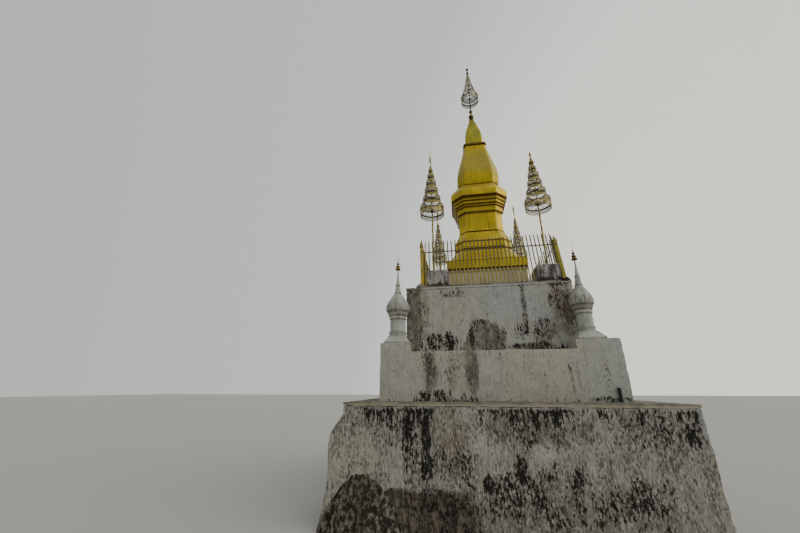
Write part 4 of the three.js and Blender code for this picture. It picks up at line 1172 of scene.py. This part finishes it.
def gold_paint(name, ledges=(), seam=0.0, pale=(0.6, 0.44, 0.03), deep=(0.45, 0.335, 0.028),
               brown=(0.1, 0.045, 0.01)):
    """Thick gold paint on render, with brown painted shade on faces that look down and, broken up like grime, under
    ledges given as pairs of height and reach, and with brown upright seams at a distance from the middle of each wide
    face"""
    coat = Finish(name, 0.4, 0.82, 0.35)
    cloud = coat.grain((1.3, 1.3, 0.9), 4, 0.55)
    rain = coat.grain((10, 10, 0.8), 4, 0.65, 5.0)
    brush = coat.grain((26, 26, 18), 4, 0.7, 9.0)
    smear = coat.grain((4.5, 4.5, 5.5), 5, 0.7, 31.0)
    coat.from_two(cloud, 0.42, 0.58, pale, deep)
    coat.lay(coat.step(rain, 0.5, 0.64) * 0.55, dimmed(pale, 0.62))
    coat.lay(coat.step(smear, 0.54, 0.64) * 0.4, (deep[0] * 0.8, deep[1] * 1.05, deep[2] * 1.3))
    coat.lay(coat.step(smear, 0.46, 0.36) * 0.4, (pale[0] * 0.7, pale[1] * 0.55, pale[2] * 0.7))
    # Painted shade, partly grime: brown on faces that look down and under each ledge, together with the grime of the
    # seams.
    shade_and_grime = coat.step(coat.facing(2), -0.12, -0.55)
    for height, reach in ledges:
        shade_and_grime = shade_and_grime.most(coat.step(height - coat.z, reach, reach * 0.3) * coat.step(coat.z, height + 0.012, height)
                           * coat.step(rain + brush * 0.4, 0.34, 0.66))
    if seam:
        aside = coat.maths("MINIMUM", abs(coat.x - tower_x - PANEL_ASIDE), abs(coat.y))
        shade_and_grime = shade_and_grime.most(coat.step(abs(aside - seam), 0.03, 0.008) * coat.step(coat.z, 9.9, 9.95)
                           * coat.step(brush, 0.34, 0.54) * 0.75)
    coat.lay(shade_and_grime * 0.9, brown)
    coat.roughen(0.32 + cloud * 0.16 + rain * 0.06)
    coat.relief(brush * 0.7 + cloud * 0.3, 0.004)
    return coat


TOWER = {
    "tower_base_band": [(1.575, 1.56, 7.9353), (1.575, 1.56, 8.3)],
    "lower_skirt": [(1.5, 1.13, 8.3003), (1.5, 1.13, 8.36), (1.455, 1.088, 8.42), (1.4, 1.04, 8.5),
                    (1.32, 0.968, 8.625), (1.24, 0.89, 8.76), (1.19, 0.835, 8.865), (1.15, 0.79, 8.97)],
    "tower_step": [(1.18, 0.8, 8.9703), (1.18, 0.8, 9.02), (1.158, 0.79, 9.032), (1.158, 0.79, 9.283),
                   (1.18, 0.8, 9.295), (1.18, 0.8, 9.34)],
    "upper_skirt": [(1.16, 0.78, 9.3403), (1.154, 0.777, 9.375), (1.122, 0.762, 9.44), (1.082, 0.742, 9.515),
                    (1.044, 0.721, 9.6), (1.012, 0.703, 9.69), (0.99, 0.688, 9.76), (0.982, 0.682, 9.79)],
    "shaft": [(0.915, 0.616, 9.7903), (0.915, 0.616, 9.828), (0.96, 0.642, 9.836), (0.94, 0.63, 9.91),
              (0.94, 0.63, 10.712), (0.955, 0.638, 10.724), (0.955, 0.638, 10.79)],
    "shaft_cornice": [(0.985, 0.655, 10.7903), (0.992, 0.66, 10.83), (1.0, 0.666, 11.015), (1.006, 0.672, 11.03),
                      (1.046, 0.69, 11.036), (1.052, 0.696, 11.07), (1.052, 0.696, 11.125), (1.04, 0.69, 11.14),
                      (1.082, 0.708, 11.146), (1.092, 0.714, 11.18), (1.1, 0.718, 11.275), (1.094, 0.714, 11.29),
                      (1.136, 0.724, 11.296), (1.15, 0.728, 11.34), (1.156, 0.73, 11.44)],
    "crown": [(1.17, 0.732, 11.4403), (1.17, 0.732, 11.462), (1.232, 0.743, 11.47), (1.24, 0.745, 11.5),
              (1.24, 0.745, 11.81), (1.205, 0.733, 11.862), (1.14, 0.71, 11.96), (1.07, 0.685, 12.042),
              (1.0, 0.66, 12.12), (0.955, 0.646, 12.19)],
}
# Heights of the ledges and how far below each the painted shade, partly grime, reaches.
LEDGES = {"tower_base_band": [(8.3, 0.05)], "lower_skirt": [(8.97, 0.12)], "tower_step": [(9.295, 0.07), (9.04, 0.04)],
          "upper_skirt": [(9.8, 0.04)], "shaft": [(10.79, 0.14), (9.85, 0.05)],
          "shaft_cornice": [(11.03, 0.07), (11.14, 0.11), (11.29, 0.08), (11.47, 0.17)],
          "crown": [(11.5, 0.06)]}
for node, rows in TOWER.items():
    course = cut_square(f"gold_{node}", tower_x, 0, rows)
    if node == "shaft":
        pick("FACE", lambda middle, normal: abs(normal.z) < 0.1 and 10.1 < middle.z < 10.5)
        bpy.ops.mesh.inset(thickness=0.12, depth=-0.022, use_individual=True)
    softened(course, 0.008)
    fitted(course, gold_paint(f"{node}_gold", LEDGES[node], PANEL_HALF if node == "shaft" else 0.0), "gold_paint",
           node, angle=20)


# The bulb above the crown, an eight-sided vase of render that leans back towards the axis of the tip.
# Its belly is greenish gold, painted brown at the foot as shade with some grime; its cut corners catch the light.
BULB = [(0.88, 0.61, 12.1903), (0.905, 0.625, 12.26), (0.925, 0.638, 12.35), (0.938, 0.645, 12.46),
        (0.945, 0.648, 12.58), (0.944, 0.646, 12.7), (0.936, 0.642, 12.82), (0.922, 0.636, 12.93),
        (0.905, 0.628, 13.045), (0.886, 0.618, 13.15), (0.861, 0.605, 13.275), (0.83, 0.59, 13.4),
        (0.793, 0.573, 13.545), (0.752, 0.555, 13.7), (0.708, 0.534, 13.865), (0.665, 0.512, 14.03),
        (0.628, 0.494, 14.165), (0.59, 0.474, 14.305), (0.548, 0.448, 14.54), (0.518, 0.428, 14.72)]
bulb_x = centre("upper_bud")[0]
bulb = cut_square("gold_bulb", bulb_x, 0, BULB)
for flat, half, height in BULB:
    lean = max(0, (13.15 - height) / (13.15 - 12.19))
    pick("VERT", lambda co: abs(co.z - height) < 1e-4)
    bpy.ops.transform.translate(value=(-0.03 * lean, 0, 0))
softened(bulb, 0.01)
# Painted shade, with some grime, browns the foot of the bulb.
coat = gold_paint("bulb_gold", [(12.27, 0.08)], 0.0, (0.48, 0.365, 0.024), (0.335, 0.272, 0.026))
dull = (coat.step(coat.z + coat.grain((2, 2, 2), 4, 0.6, 2.0) * 0.4, 12.9, 13.35)
        * coat.step(coat.z, 14.6, 13.6))
coat.lay(dull * 0.55, (0.33, 0.275, 0.06))
fitted(bulb, coat, "gold_paint", "lower_bulb", angle=20)


# The ring on the bulb, the bud drawn to a point above it and the turned balls on the bud, all gold on render.
# Ring and bud keep the bulb's cut corners; the ring's edge and the balls are browned all round.
RING = [(0.52, 0.45, 14.7203), (0.545, 0.47, 14.735), (0.556, 0.478, 14.77), (0.556, 0.478, 14.81),
        (0.542, 0.468, 14.85), (0.505, 0.44, 14.88), (0.44, 0.39, 14.9)]
BUD = [(wide, wide * 0.873, height) for wide, height in [
    (0.41, 14.9003), (0.418, 14.98), (0.421, 15.15), (0.417, 15.34), (0.405, 15.48), (0.386, 15.62),
    (0.362, 15.74), (0.334, 15.85), (0.304, 15.955), (0.275, 16.06), (0.247, 16.165), (0.219, 16.27),
    (0.191, 16.37), (0.163, 16.465), (0.137, 16.56), (0.115, 16.65), (0.104, 16.7)]]
BALLS = [(0.095, 16.7003), (0.122, 16.715), (0.13, 16.74), (0.118, 16.772), (0.075, 16.8), (0.085, 16.83),
         (0.11, 16.868), (0.13, 16.915), (0.132, 16.955), (0.118, 17.005), (0.088, 17.052), (0.052, 17.095),
         (0.044, 17.15), (0.044, 17.215), (0.07, 17.25), (0.092, 17.285), (0.094, 17.31), (0.074, 17.345),
         (0.042, 17.38), (0.034, 17.42), (0.034, 17.47)]
dark_gold = gold_paint("dark_gold", (), 0.0, (0.15, 0.09, 0.012), (0.085, 0.052, 0.01), (0.04, 0.022, 0.008))
bud_gold = gold_paint("bud_gold", [(14.96, 0.06)], 0.0, (0.42, 0.375, 0.04), (0.285, 0.27, 0.034))
ring = cut_square("gold_ring", bulb_x, 0, RING)
softened(ring, 0.006)
fitted(ring, dark_gold, "gold_paint", "bulb_ring", angle=30)
bud = cut_square("gold_bud", bulb_x, 0, BUD)
softened(bud, 0.01)
fitted(bud, bud_gold, "gold_paint", "upper_bud", angle=20)
balls = turned("gold_balls", bulb_x, 0, 0, BALLS, 32)
fitted(balls, dark_gold, "gold_paint", "tower_balls", angle=40)


# The parasol on the tip: two wide openwork tiers, the upper one of large rings, and a tight pierced cone that
# ends in two leaves. The same brass as the corner parasols, painted darker from below as shade, held by a knob on the
# balls.
tip_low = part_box("tip_parasol")[0]
tip_x, tip_y = centre("tip_parasol")
TIP_POLE = [(0.03, tip_low.z), (0.026, 17.56), (0.04, 17.575), (0.047, 17.595), (0.036, 17.625), (0.02, 17.645),
            (0.02, 19.6), (0.024, 19.86), (0.016, 19.93), (0.044, 19.98), (0.07, 20.04), (0.068, 20.115),
            (0.036, 20.19), (0.016, 20.235), (0.036, 20.275), (0.076, 20.335), (0.082, 20.38), (0.056, 20.43),
            (0.008, 20.47)]
tip_pole = turned("tip_pole", tip_x, tip_y, 0, TIP_POLE, 16)
pick("VERT", lambda co: co.z > 19.95)
drawn(1, 0.35, tip_x, tip_y)
bpy.ops.object.mode_set(mode="OBJECT")
rim, belt, drum = canopy_tier(tip_x, tip_y, 18.19, 0.454, 0.33, 0.315, 36)
cone = pierced(tip_x, tip_y, [(0.24, 18.965), (0.205, 19.12, 0.016, 0), (0.172, 19.3, 0.015, 1),
                              (0.14, 19.46, 0.013, 1), (0.112, 19.6, 0.011, 1), (0.086, 19.73, 0.009, 1),
                              (0.058, 19.85, 0.007, 1), (0.026, 19.94, 0.004, 0)], 18, 0.006)
tip_sheets = [belt, drum, cone, *lace(tip_x, tip_y, 18.18, 0.448, 0.195, 60)]
tip_rims = [tip_pole, rim, hoop(tip_x, tip_y, 18.52, 0.318, 0.036, 0.014),
            hoop(tip_x, tip_y, 18.965, 0.246, 0.022, 0.014), *spokes(tip_x, tip_y, 18.19, 0.445)]
for index in range(6):
    angle = 2 * pi * (index + 0.5) / 6
    for radius, out, rise in [(0.14, 0.27, 18.74), (0.07, 0.292, 18.64)]:
        place = (tip_x + out * cos(angle), tip_y + out * sin(angle), rise)
        tip_rims.append(added(bpy.ops.mesh.primitive_torus_add, (1.5, 1, 1), major_segments=24, minor_segments=6,
                              major_radius=radius, minor_radius=0.01, location=place,
                              rotation=(0, pi / 2 - 0.17, angle)))
tip_gilt = gilt("tip_gilt", (0.33, 0.29, 0.13), (0.125, 0.11, 0.06), 0.52)
fitted(joined("tip_canopy", *tip_sheets), tip_gilt, "gilt_bronze", "tip_parasol", angle=40)
fitted(joined("tip_rims", *tip_rims), rim_gilt, "gilt_bronze", "tip_parasol", angle=40)
